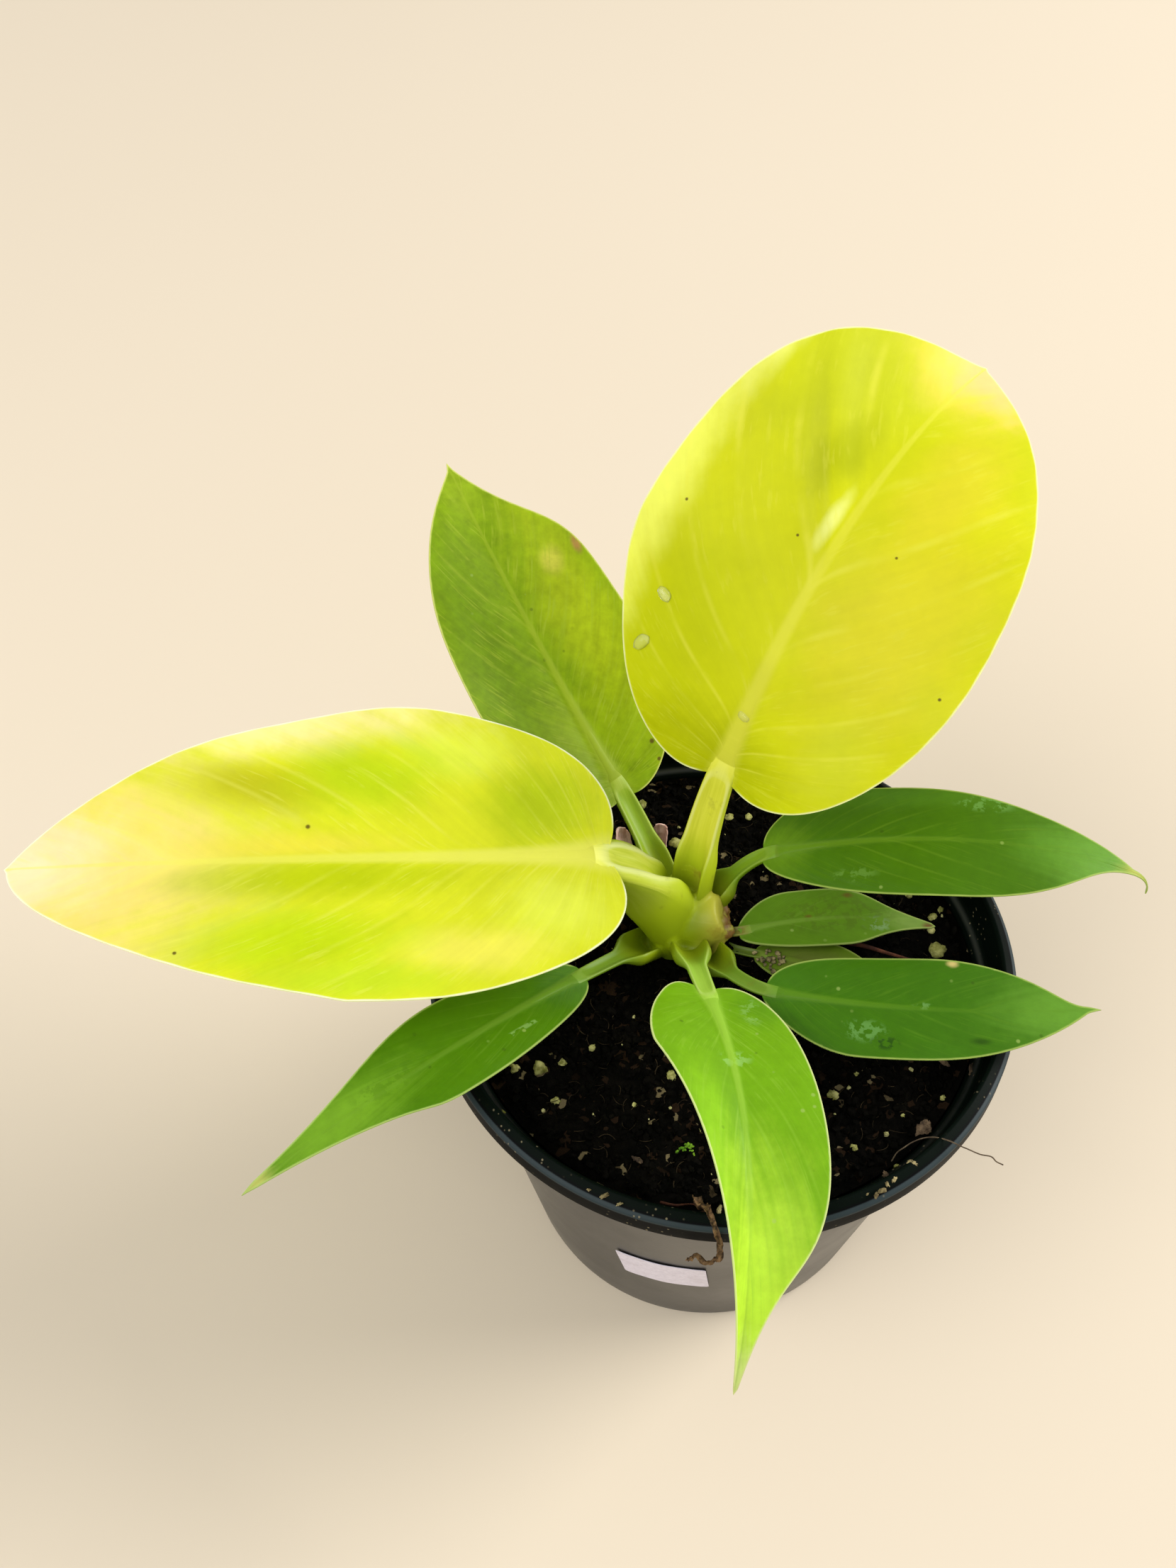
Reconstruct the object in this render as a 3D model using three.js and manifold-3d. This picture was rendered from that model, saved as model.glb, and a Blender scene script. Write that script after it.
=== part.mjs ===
// Potted clair de lune philodendron: a nursery pot, its soil, and a young plant
// with nine leaves on grooved petioles that clasp one short stem.
// Millimetres, +Z up, origin at the middle of the pot's underside.
import * as THREE from 'three';
import { mergeVertices } from 'three/addons/utils/BufferGeometryUtils.js';
import Module from 'manifold-3d';

const wasm = await Module();
wasm.setup();

const DEG = Math.PI / 180;
const CLEARANCE = 0.3;

// Pot, a 13 cm nursery size
const POT_HEIGHT = 99;
const RIM_RADIUS = 65;
const RIM_BAND = 7.8;
const RIM_INNER = 60.6;
const NECK_RADIUS = 59.7;
const BASE_RADIUS = 45.2;
const WALL = 1.2;
const FLOOR = 1.6;
const POT_SIDES = 56;
const DRAIN_COUNT = 8;
const DRAIN_RADIUS = 4;
const DRAIN_CIRCLE = 33;
const DRAIN_SIDES = 12;

// Soil, heaped a little round the stem, with pale grains and bark on it
const SOIL_LEVEL = 89.6;
const SOIL_EDGE_DROP = 0.6;
const SOIL_HEAP = 2.2;
const SOIL_HEAP_SPREAD = 500;
const SOIL_ROUGHNESS = 0.7;
const SOIL_RINGS = [53, 47, 39, 31, 23, 15, 7];
const SOIL_SIDES = 40;
const SOIL_SEED = 7;
const GRAIN_COUNT = 28;
const GRAIN_SPREAD = 54;
const LARGE_GRAINS = [
  { x: 51.5, y: 6, radius: 2.9 }, { x: -40, y: -23, radius: 2.4 }, { x: -46, y: -22.5, radius: 2 },
  { x: -48, y: -33, radius: 1.9 }, { x: -36.7, y: -30, radius: 1.8 }, { x: 41.5, y: -37.5, radius: 2.2 },
  { x: 50, y: -24, radius: 2.3 }, { x: 32, y: 21.6, radius: 1.9 }, { x: 37, y: -46, radius: 1.8 },
  { x: 23, y: -29, radius: 1.7 },
];

// Stem, and the scar of an older leaf on its right
const STEM = { x: -8, y: 12, foot: 62, top: 106, radius: 6.4, sides: 16 };
const STEM_SWELLING = [
  [0, 0.5], [0.12, 0.75], [0.45, 0.86], [0.62, 1], [0.78, 1.04], [0.9, 0.86], [0.97, 0.55], [1, 0.25],
];
const SCAR = { x: -1, y: 8.2, z: 97, radius: 2.6, stretch: 1.6 };

// Leaves
const BLADE_THICK = 0.7;
const ROWS_LEAST = 8;
const ROW_SPACING = 11;
const COLUMN_SPACING = 6;
const COLUMNS_MOST = 4;
const VEIN_START = 1.6;
const VEIN_SWEEP = 1.35;
const CUSP = 0.7;
const LEFT = { name: 'left', sign: 1, index: 0, phase: 0.6 };
const RIGHT = { name: 'right', sign: -1, index: 1, phase: 2.4 };
const MIDRIB_STEPS = 90;
const MIDRIB_SPARE = 1.02;
const PLAIN_BEND = 1.3;
const PETIOLE_STEPS = 9;
const PETIOLE_SEAT = 2.5;
const SHEATH_END = 0.5;

// A leaf starts at its base and points along its heading, with its midrib
// rising at first and drooping by the tip. Each half outline has its width, how
// far along it is widest, the handles back at the lobe and at the tip as
// [along, across], and how far the edge runs parallel before and after.
const LEAVES = [
  {
    name: 'leaf_large_back', color: 0xd2d62a, length: 109, drip: 0.6,
    base: [0, 24.7, 130.6], heading: 48, sweep: 0, rise: 63.5, droop: 68, roll: 5.5, twist: 16.5,
    fold: [6.5, 6], foldTip: [6.5, 6], wave: 0.9, waves: 3,
    left: { width: 39, widest: 44, lobe: [14, 19.5], parallel: [19, 54], tip: [8, 9.5] },
    right: { width: 39, widest: 42, lobe: [12, 16], parallel: [28, 34], tip: [5, 22.5] },
    petiole: {
      from: [-7, 13.2, 99], along: [0.05, 0.3, 1], reach: 13, arrive: 13, width: [6, 4.3, 3], keel: 2.4,
    },
  },
  {
    name: 'leaf_large_left', color: 0xdfe04a, length: 125, drip: 0.6,
    base: [-25.7, 9.1, 121.3], heading: 188, sweep: -9, rise: 10.3, droop: 15.5, roll: -6, twist: 0,
    fold: [9.3, 9.8], foldTip: [9.3, 9.8], wave: 0.9, waves: 2.5,
    left: { width: 36, widest: 54, lobe: [11, 17.5], parallel: [45, 1], tip: [4, 18] },
    right: { width: 35, widest: 42.5, lobe: [9.5, 14.5], parallel: [37, 46.5], tip: [7.5, 10.5] },
    petiole: {
      from: [-10, 12, 99], along: [-0.35, -0.02, 0.95], reach: 10, arrive: 9, width: [6, 4.4, 3.2], keel: 2.3,
    },
  },
  {
    name: 'leaf_back_left', color: 0x86a51c, length: 84.3, drip: 2,
    base: [-21.8, 37.2, 110], heading: 132, sweep: -15.5, rise: 43, droop: 20, roll: 0, twist: 0.5,
    fold: [9.3, 9.3], foldTip: [9.3, 9.3], wave: 0.6, waves: 2.5,
    left: { width: 22.6, widest: 32, lobe: [7, 2], parallel: [32, 32], tip: [6.5, 5] },
    right: { width: 23, widest: 28, lobe: [7.5, 1], parallel: [31, 42], tip: [23.5, 12.5] },
    petiole: {
      from: [-9, 15, 92], along: [-0.3, 0.85, 0.45], reach: 9, arrive: 9, width: [4, 2.9, 2.5], keel: 2,
    },
  },
  {
    name: 'leaf_right_upper', color: 0x4d8b10, length: 80.5, drip: 9, dripCurl: 75,
    base: [10.5, 17.9, 109.8], heading: -8, sweep: -1.5, rise: 24.5, droop: 43.5, roll: 3.5, twist: 1,
    fold: [-2.7, -7.4], foldTip: [-2.7, -7.4], wave: 0.4, waves: 2,
    left: { width: 15, widest: 21, lobe: [3, 5.5], parallel: [16.5, 31.5], tip: [2, 2] },
    right: { width: 13.6, widest: 36, lobe: [5, 5.5], parallel: [18.5, 32], tip: [13, 1] },
    petiole: {
      from: [-4.5, 12.5, 93], along: [0.6, 0.3, 0.75], reach: 7, arrive: 7, width: [3.4, 2.1, 1.8], keel: 1.5,
    },
  },
  {
    name: 'leaf_right_lower', color: 0x458a14, length: 67.8, drip: 3, dripCurl: 15,
    base: [8.5, -13, 101.9], heading: -16.3, sweep: 20, rise: 5.7, droop: 7.6, roll: 6, twist: 1.5,
    fold: [3.8, 1.4], foldTip: [3.8, 1.4], wave: 0.4, waves: 2,
    left: { width: 11.4, widest: 34.5, lobe: [1.5, 9], parallel: [17.5, 23.5], tip: [6.5, 0.5] },
    right: { width: 12.2, widest: 20.5, lobe: [3.5, 1], parallel: [11.5, 20], tip: [14, 8.5] },
    petiole: {
      from: [-5.5, 8.5, 90.5], along: [0.45, -0.8, 0.4], reach: 8, arrive: 7, width: [3, 1.8, 1.5], keel: 1.4,
    },
  },
  {
    name: 'leaf_front', color: 0x7cc21a, length: 91.3, drip: 2.5, bend: 1.7,
    base: [-4.3, -15.5, 105], heading: -77.3, sweep: -26, rise: 21.3, droop: 105, roll: -4.8, twist: -11.2,
    fold: [5, 10], foldTip: [19.6, 71.3], wave: 0.3, waves: 2,
    left: { width: 16, widest: 37.5, lobe: [5.5, 6.5], parallel: [27.5, 31], tip: [34.5, 2.5] },
    right: { width: 18, widest: 20.5, lobe: [16, 7.5], parallel: [7, 3], tip: [38.5, 6] },
    petiole: {
      from: [-7.5, 8, 91], along: [0.05, -0.6, 0.8], reach: 8, arrive: 7, width: [3.8, 2.4, 2], keel: 1.7,
    },
  },
  {
    name: 'leaf_left_lower', color: 0x5b9a14, length: 81.8, drip: 3, dripCurl: 10,
    base: [-30.8, -9.1, 102.8], heading: -139.3, sweep: -4.4, rise: 17, droop: 29, roll: -1, twist: -0.7,
    fold: [6.4, 6.9], foldTip: [6.4, 6.9], wave: 0.4, waves: 2,
    left: { width: 10.4, widest: 38.5, lobe: [1, 8.5], parallel: [11.5, 12], tip: [40, 6] },
    right: { width: 10.5, widest: 34, lobe: [4, 6], parallel: [15, 17], tip: [25.5, 3] },
    petiole: {
      from: [-11, 9, 90], along: [-0.7, -0.5, 0.5], reach: 8, arrive: 8, width: [3.2, 2, 1.7], keel: 1.5,
    },
  },
  {
    name: 'leaf_small_right', color: 0x5f8a24, length: 44.5, drip: 1,
    base: [5, 6.9, 95], heading: 12.5, sweep: -19, rise: 4.5, droop: 16, roll: 0, twist: 0,
    fold: [7.5, 8], foldTip: [7.5, 8], wave: 0.3, waves: 2,
    left: { width: 8, widest: 13, lobe: [2, 1], parallel: [7.5, 22.5], tip: [17, 3] },
    right: { width: 8, widest: 19, lobe: [3.5, 5], parallel: [4, 11.5], tip: [16.5, 4] },
    petiole: {
      from: [-4, 9.5, 91.8], along: [0.9, -0.2, 0.35], reach: 3, arrive: 3, width: [1.6, 1.3, 1.2], keel: 1.1,
    },
  },
  {
    name: 'leaf_small_hidden', color: 0x4f7a1c, length: 33, drip: 1,
    base: [8.5, 2.5, 92.5], heading: -14, sweep: -8, rise: 4, droop: 8, roll: 0, twist: 0,
    fold: [6, 6], foldTip: [6, 6], wave: 0.2, waves: 2,
    left: { width: 6.6, widest: 12, lobe: [2, 2], parallel: [7, 10], tip: [9, 3] },
    right: { width: 6.6, widest: 12, lobe: [2, 2], parallel: [7, 10], tip: [9, 3] },
    petiole: {
      from: [-3.5, 7.5, 90.2], along: [0.9, -0.3, 0.2], reach: 4, arrive: 4, width: [1.5, 1.2, 1.1], keel: 1,
    },
  },
];

// Petiole section, seen towards the blade: two lips with a groove between, and a round back
const PETIOLE_LIPS = [
  { across: 1, deep: 0.7 }, { across: 0.8, deep: 0 }, { across: 0.32, deep: 1 },
  { across: -0.32, deep: 1 }, { across: -0.8, deep: 0 }, { across: -1, deep: 0.7 },
];
const PETIOLE_BACK = [215, 250, 290, 325];

// Dried sheaths of older leaves, standing in the soil behind the stem
const SHEATHS = [
  { name: 'dried_sheath_left', at: [-20.5, 27, 99], lean: [-0.2, 0.25, 1], length: 13, width: 4.4, turn: 20 },
  { name: 'dried_sheath_back', at: [-12.4, 33.5, 93], lean: [0.1, 0.15, 1], length: 12, width: 4, turn: -35 },
];
const SHEATH_STEPS = 5;
const SHEATH_THICK = 0.7;
const SHEATH_SECTION = [[-1, 0.5], [-0.5, 0.1], [0, 0], [0.5, 0.1], [1, 0.5]];

// Dried leaf scrap, hung over the rim at the front and crumpled at its end
const SCRAP_PATH = [
  [-8.2, -55.5, 91.2], [-7.8, -58.6, 94], [-7.1, -60.3, 98.6], [-6.4, -62.6, 100],
  [-5.4, -65.3, 99], [-4.4, -66.3, 95], [-4.3, -66.4, 90.5], [-5.7, -66.5, 87.6],
  [-7.7, -66.3, 88.6], [-9.2, -66, 89.6], [-10.4, -65.8, 86],
];
const SCRAP = { name: 'dried_scrap', width: [3, 1.6, 2.2, 1], thick: 0.7, steps: 26, seat: 93 };

// Sticker on the front of the pot wall
const LABEL = { name: 'label', width: 20.5, low: 31.8, high: 47.4, middle: -104.8, thick: 0.3, steps: 6 };

// A closed mesh as a solid
function solid(geometry) {
  const bare = geometry.index ? geometry.toNonIndexed() : geometry.clone();
  for (const key of Object.keys(bare.attributes)) {
    if (key !== 'position') bare.deleteAttribute(key);
  }
  const merged = mergeVertices(bare, 1e-4);
  return new wasm.Manifold(new wasm.Mesh({
    numProp: 3,
    vertProperties: new Float32Array(merged.attributes.position.array),
    triVerts: new Uint32Array(merged.index.array),
  }));
}

// A solid as a mesh again
function geometryOf(body) {
  const mesh = body.getMesh();
  const geometry = new THREE.BufferGeometry();
  const positions = new Float32Array(mesh.vertProperties);
  geometry.setAttribute('position', new THREE.BufferAttribute(positions, 3));
  geometry.setIndex(new THREE.BufferAttribute(new Uint32Array(mesh.triVerts), 1));
  return geometry;
}

function meshFrom(points, index) {
  const geometry = new THREE.BufferGeometry();
  const positions = points.flatMap((p) => [p.x, p.y, p.z]);
  geometry.setAttribute('position', new THREE.Float32BufferAttribute(positions, 3));
  geometry.setIndex(index);
  return geometry;
}

function largestPiece(body) {
  return body.decompose().sort((a, b) => b.volume() - a.volume())[0];
}

// Seeded random numbers from 0 to 1
function seeded(seed) {
  let state = seed >>> 0;
  return () => {
    state = (state + 0x6d2b79f5) >>> 0;
    let t = Math.imul(state ^ (state >>> 15), 1 | state);
    t = (t + Math.imul(t ^ (t >>> 7), 61 | t)) ^ t;
    return ((t ^ (t >>> 14)) >>> 0) / 4294967296;
  };
}

// Flat [x, y] points laid out round a centre along two directions
function layOut(section, centre, across, up) {
  return section.map(([x, y]) => centre.clone().addScaledVector(across, x).addScaledVector(up, y));
}

// A closed skin through rings of equal size, each a list of points
function loft(rings) {
  const n = rings[0].length;
  const index = [];
  for (let i = 0; i < rings.length - 1; i++) {
    for (let k = 0; k < n; k++) {
      const a = i * n + k;
      const b = i * n + (k + 1) % n;
      index.push(a, b, b + n, a, b + n, a + n);
    }
  }
  const last = (rings.length - 1) * n;
  for (let k = 1; k < n - 1; k++) index.push(0, k + 1, k, last, last + k, last + k + 1);
  return meshFrom(rings.flat(), index);
}

// Pot: a tapered wall, a rounded hollow rim band and a floor with drain holes
const neckHeight = POT_HEIGHT - RIM_BAND;
const outerRadius = (z) => BASE_RADIUS + (NECK_RADIUS - BASE_RADIUS) * z / neckHeight;
const innerRadius = (z) => outerRadius(z) - WALL;

function makePot() {
  const shoulder = neckHeight - 2.4;
  const foot = 0.9;
  const outside = [
    [0, 0], [BASE_RADIUS - foot, 0], [BASE_RADIUS, foot], [NECK_RADIUS, neckHeight - 0.6],
    [NECK_RADIUS + 1.6, neckHeight], [RIM_RADIUS - 1.4, neckHeight + 0.3],
    [RIM_RADIUS - 0.4, neckHeight + 1.3], [RIM_RADIUS, neckHeight + 3.4],
  ];
  const lip = [
    [RIM_RADIUS, POT_HEIGHT - 1.9], [RIM_RADIUS - 0.6, POT_HEIGHT - 0.6], [RIM_RADIUS - 1.7, POT_HEIGHT],
    [RIM_RADIUS - 2.9, POT_HEIGHT - 0.4], [RIM_RADIUS - 3.7, POT_HEIGHT - 1.5],
  ];
  const inside = [
    [RIM_INNER, neckHeight + 0.4], [innerRadius(shoulder) + WALL, neckHeight - 0.6],
    [innerRadius(shoulder), shoulder], [innerRadius(FLOOR), FLOOR], [0, FLOOR],
  ];
  const points = [...outside, ...lip, ...inside].map(([r, z]) => new THREE.Vector2(r, z));
  let body = solid(new THREE.LatheGeometry(points, POT_SIDES).rotateX(Math.PI / 2));
  for (let k = 0; k < DRAIN_COUNT; k++) {
    const angle = (k + 0.5) * 2 * Math.PI / DRAIN_COUNT;
    const hole = new THREE.CylinderGeometry(DRAIN_RADIUS, DRAIN_RADIUS, 4 * FLOOR, DRAIN_SIDES);
    hole.rotateX(Math.PI / 2);
    hole.translate(DRAIN_CIRCLE * Math.cos(angle), DRAIN_CIRCLE * Math.sin(angle), FLOOR / 2);
    body = body.subtract(solid(hole));
  }
  return body;
}

// Stem: a short swollen cane, wider by extra when it cuts its own hole
function makeStem(extra = 0) {
  const height = STEM.top - STEM.foot;
  const points = [new THREE.Vector2(0, -extra)];
  for (const [t, swell] of STEM_SWELLING) {
    const rise = t === 0 ? -extra : 0;
    const crown = t > 0.9 ? extra : 0;
    points.push(new THREE.Vector2(STEM.radius * swell + extra, t * height + rise + crown));
  }
  points.push(new THREE.Vector2(0, height + extra));
  const cane = new THREE.LatheGeometry(points, STEM.sides).rotateX(Math.PI / 2);
  cane.translate(STEM.x, STEM.y, STEM.foot);
  const scar = new THREE.IcosahedronGeometry(SCAR.radius + extra, 1);
  scar.scale(SCAR.stretch, 1, 1);
  scar.translate(SCAR.x, SCAR.y, SCAR.z);
  return solid(cane).add(solid(scar));
}

// Height of the soil's surface, without its crumbs
function soilHeight(x, y) {
  const fromStem = (x - STEM.x) ** 2 + (y - STEM.y) ** 2;
  const heap = SOIL_HEAP * Math.exp(-fromStem / SOIL_HEAP_SPREAD);
  const ripple = Math.sin(0.31 * x + 1.3) * Math.cos(0.27 * y) + 0.6 * Math.sin(0.23 * (x + y));
  const fade = 1 - (Math.hypot(x, y) / 70) ** 4;
  return SOIL_LEVEL + heap + SOIL_ROUGHNESS * ripple * fade;
}

const soilSide = (z) => innerRadius(z) - 1.5 * CLEARANCE;

// Soil block that fills the pot, with a crumbled top
function makeSoilBlock(random) {
  const ring = (radius, height) => {
    const points = [];
    for (let k = 0; k < SOIL_SIDES; k++) {
      const angle = 2 * Math.PI * k / SOIL_SIDES;
      const x = radius * Math.cos(angle);
      const y = radius * Math.sin(angle);
      points.push(new THREE.Vector3(x, y, height(x, y)));
    }
    return points;
  };
  const bottom = FLOOR + CLEARANCE;
  const edge = SOIL_LEVEL - SOIL_EDGE_DROP;
  const crumbled = (x, y) => soilHeight(x, y) + (2 * random() - 1) * SOIL_ROUGHNESS;
  const rings = [ring(soilSide(bottom), () => bottom), ring(soilSide(edge), () => edge)];
  for (const radius of SOIL_RINGS) rings.push(ring(radius, crumbled));
  return solid(loft(rings));
}

// Grains: the large ones where they lie, the small ones scattered
function grainPlaces(random) {
  const grains = [...LARGE_GRAINS];
  while (grains.length < GRAIN_COUNT) {
    const distance = GRAIN_SPREAD * Math.sqrt(random());
    const angle = 2 * Math.PI * random();
    const radius = 0.9 + 0.8 * random();
    grains.push({ x: distance * Math.cos(angle), y: distance * Math.sin(angle), radius });
  }
  return grains;
}

function makeSoil(stemHole) {
  const random = seeded(SOIL_SEED);
  let body = makeSoilBlock(random);
  for (const { x, y, radius } of grainPlaces(random)) {
    const room = soilSide(SOIL_LEVEL - SOIL_EDGE_DROP) - radius - 1;
    const inwards = Math.min(1, room / Math.hypot(x, y));
    const grain = new THREE.IcosahedronGeometry(radius, 0);
    grain.rotateX(Math.PI * random()).rotateZ(Math.PI * random());
    grain.translate(x * inwards, y * inwards, soilHeight(x * inwards, y * inwards) + 0.15 * radius);
    body = body.add(solid(grain));
  }
  return largestPiece(body.subtract(stemHole));
}

// Directions of the midrib a share s of the way from base to tip
function midribFrame(leaf, s) {
  const past = Math.max(0, s - 1) * leaf.length / leaf.drip;
  const drooped = leaf.droop * Math.min(s, 1) ** (leaf.bend ?? PLAIN_BEND);
  const curled = (leaf.dripCurl ?? 0) * Math.min(past, 1);
  const lift = (leaf.rise - drooped - curled) * DEG;
  const turn = (leaf.heading + leaf.sweep * s) * DEG;
  const roll = (leaf.roll + leaf.twist * s) * DEG;
  const flat = Math.cos(lift);
  const forward = new THREE.Vector3(flat * Math.cos(turn), flat * Math.sin(turn), Math.sin(lift));
  const level = new THREE.Vector3(-Math.sin(turn), Math.cos(turn), 0);
  const top = new THREE.Vector3().crossVectors(forward, level);
  const left = level.clone().multiplyScalar(Math.cos(roll)).addScaledVector(top, Math.sin(roll));
  const up = top.clone().multiplyScalar(Math.cos(roll)).addScaledVector(level, -Math.sin(roll));
  return { forward, left, up };
}

// Midrib: gives the place and directions at any length along the leaf
function midrib(leaf) {
  const full = MIDRIB_SPARE * (leaf.length + leaf.drip);
  const stride = full / MIDRIB_STEPS;
  const position = new THREE.Vector3(...leaf.base);
  const table = [];
  for (let i = 0; i <= MIDRIB_STEPS; i++) {
    const frame = midribFrame(leaf, i * stride / leaf.length);
    if (i > 0) {
      const chord = frame.forward.clone().add(table[i - 1].forward);
      position.addScaledVector(chord, stride / 2);
    }
    table.push({ ...frame, position: position.clone() });
  }
  return (along) => {
    const i = Math.min(Math.max(Math.floor(along / stride), 0), MIDRIB_STEPS - 1);
    const t = Math.max(along, 0) / stride - i;
    const mix = (key) => table[i][key].clone().lerp(table[i + 1][key], t);
    const spot = { position: mix('position'), forward: mix('forward'), left: mix('left'), up: mix('up') };
    spot.position.addScaledVector(table[0].forward, Math.min(along, 0));
    return spot;
  };
}

// Half outline of the flattened blade: x along the midrib, y out from it
function edgeCurve(leaf, half) {
  const at = (x, y) => new THREE.Vector2(x, y);
  const cusp = Math.min(CUSP, leaf.drip);
  const widest = at(half.widest, half.width);
  const tip = at(leaf.length, cusp);
  const [lobeBack, lobeOut] = half.lobe;
  const [before, after] = half.parallel;
  const [tipBack, tipOut] = half.tip;
  const path = new THREE.CurvePath();
  const lobe = at(-lobeBack, lobeOut);
  const narrowing = at(leaf.length - tipBack, tipOut + cusp);
  path.add(new THREE.CubicBezierCurve(at(0, 0), lobe, at(half.widest - before, half.width), widest));
  path.add(new THREE.CubicBezierCurve(widest, at(half.widest + after, half.width), narrowing, tip));
  path.add(new THREE.LineCurve(tip, at(leaf.length + leaf.drip, 0)));
  return path;
}

// A point of the blade and the direction its upper face looks
function bladePoint(leaf, rib, along, across) {
  const side = across >= 0 ? LEFT : RIGHT;
  const s = Math.min(Math.max(along / leaf.length, 0), 1);
  const out = Math.abs(across);
  const fold = THREE.MathUtils.lerp(leaf.fold[side.index], leaf.foldTip[side.index], s) * DEG;
  const ripple = Math.sin(2 * Math.PI * leaf.waves * along / leaf.length + side.phase);
  const wave = leaf.wave * ripple * (out / leaf[side.name].width) ** 2;
  const { position, left, up } = rib(along);
  const point = position.addScaledVector(left, side.sign * out * Math.cos(fold));
  point.addScaledVector(up, out * Math.sin(fold) + wave);
  const normal = up.clone();
  if (out > 0) normal.multiplyScalar(Math.cos(fold)).addScaledVector(left, -side.sign * Math.sin(fold));
  return { point, normal: normal.normalize() };
}

// Blade: cells in rows that follow the side veins, from base to tip
function bladeCells(leaf, rib, halfColumns) {
  const edges = { left: edgeCurve(leaf, leaf.left), right: edgeCurve(leaf, leaf.right) };
  const full = leaf.length + leaf.drip;
  const rowCount = Math.round(ROWS_LEAST + full / ROW_SPACING);
  const rows = [];
  for (let i = 1; i < rowCount; i++) {
    const u = i / rowCount;
    const start = full * u ** VEIN_START;
    const row = [];
    for (let j = -halfColumns; j <= halfColumns; j++) {
      const v = Math.abs(j) / halfColumns;
      const edge = (j >= 0 ? edges.left : edges.right).getPoint(u);
      const along = start + (edge.x - start) * v ** VEIN_SWEEP;
      row.push({ ...bladePoint(leaf, rib, along, Math.sign(j) * edge.y * v), v, s: start / full });
    }
    rows.push(row);
  }
  const end = (along) => ({ ...bladePoint(leaf, rib, along, 0), v: 1, s: along / full });
  return { cells: [end(0), ...rows.flat(), end(full)], rowCount: rows.length };
}

// Blade: an upper and a lower face split alike, and the edge between them
function makeBlade(leaf, rib) {
  const halfColumns = Math.round(Math.min(COLUMNS_MOST, 2 + leaf.left.width / 2 / COLUMN_SPACING));
  const columns = 2 * halfColumns + 1;
  const { cells, rowCount } = bladeCells(leaf, rib, halfColumns);
  const count = cells.length;
  const at = (i, j) => 1 + i * columns + j;
  const faces = [];
  for (let j = 0; j < columns - 1; j++) {
    faces.push([0, at(0, j), at(0, j + 1)]);
    for (let i = 0; i < rowCount - 1; i++) {
      faces.push([at(i, j), at(i + 1, j), at(i + 1, j + 1)], [at(i, j), at(i + 1, j + 1), at(i, j + 1)]);
    }
    faces.push([count - 1, at(rowCount - 1, j + 1), at(rowCount - 1, j)]);
  }
  const index = faces.flatMap(([a, b, c]) => [a, b, c, count + a, count + c, count + b]);
  const rowsUp = [...Array(rowCount).keys()];
  const rightEdge = rowsUp.map((i) => at(i, 0));
  const leftEdge = rowsUp.map((i) => at(i, columns - 1)).reverse();
  const rim = [0, ...rightEdge, count - 1, ...leftEdge];
  rim.forEach((a, k) => {
    const b = rim[(k + 1) % rim.length];
    index.push(a, count + b, b, a, count + a, count + b);
  });
  const half = BLADE_THICK / 2;
  const nearRib = (cell) => Math.max(0, 1 - 0.9 * cell.v * halfColumns);
  const keel = (cell) => 0.75 * leaf.petiole.keel * (1 - cell.s) * nearRib(cell);
  const top = cells.map((c) => c.point.clone().addScaledVector(c.normal, half));
  const bottom = cells.map((c) => c.point.clone().addScaledVector(c.normal, -half - keel(c)));
  return solid(meshFrom([...top, ...bottom], index));
}

// Petiole path: out of the stem, then in line with the leaf's base
function petiolePath(leaf, rib) {
  const { from, along, reach, arrive, keel } = leaf.petiole;
  const joint = rib(PETIOLE_SEAT);
  const start = new THREE.Vector3(...from);
  const away = new THREE.Vector3(...along).normalize();
  const seat = joint.position.clone().addScaledVector(joint.up, -0.3 * keel);
  const leaving = start.clone().addScaledVector(away, reach);
  const arriving = seat.clone().addScaledVector(rib(0).forward, -arrive - PETIOLE_SEAT);
  return new THREE.CubicBezierCurve3(start, leaving, arriving, seat);
}

// Petiole section: a wide open channel at the stem, a narrow groove by the blade
function petioleSection(leaf, t, extra) {
  const [sheath, middle, top] = leaf.petiole.width;
  const open = Math.max(0, 1 - t / SHEATH_END);
  const closed = Math.max(0, t - SHEATH_END) / (1 - SHEATH_END);
  const clasp = open * sheath / 6;
  const width = extra + middle + (sheath - middle) * open ** 0.8 + (top - middle) * closed;
  const depth = extra + 0.25 + 0.62 * (open > 0 ? middle : top);
  const ridge = extra + 0.22 * width + 1.6 * clasp;
  const groove = 0.3 * width + 1.9 * clasp;
  const sink = open > 0 ? 0.35 * groove : 0;
  const lips = PETIOLE_LIPS.map(({ across, deep }) => [across * width, ridge - groove * deep]);
  const back = PETIOLE_BACK.map((angle) => angle * DEG);
  return [...lips, ...back.map((turn) => [width * Math.cos(turn), depth * Math.sin(turn) - sink])];
}

// Petiole: a channel that clasps the stem and closes to a grooved stalk
function makePetiole(leaf, rib, extra = 0) {
  const path = petiolePath(leaf, rib);
  const { position, up: leafUp } = rib(0);
  const inward = new THREE.Vector3(STEM.x - position.x, STEM.y - position.y, 0).normalize();
  inward.z = 0.6;
  const rings = [];
  for (let i = 0; i <= PETIOLE_STEPS; i++) {
    const t = i / PETIOLE_STEPS;
    const forward = path.getTangent(t);
    const up = inward.clone().lerp(leafUp, Math.min(1, 1.2 * t));
    up.addScaledVector(forward, -up.dot(forward)).normalize();
    const left = new THREE.Vector3().crossVectors(up, forward);
    const centre = path.getPoint(t);
    const section = petioleSection(leaf, t, extra);
    rings.push(layOut(section, centre, left, up));
  }
  return solid(loft(rings));
}

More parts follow.
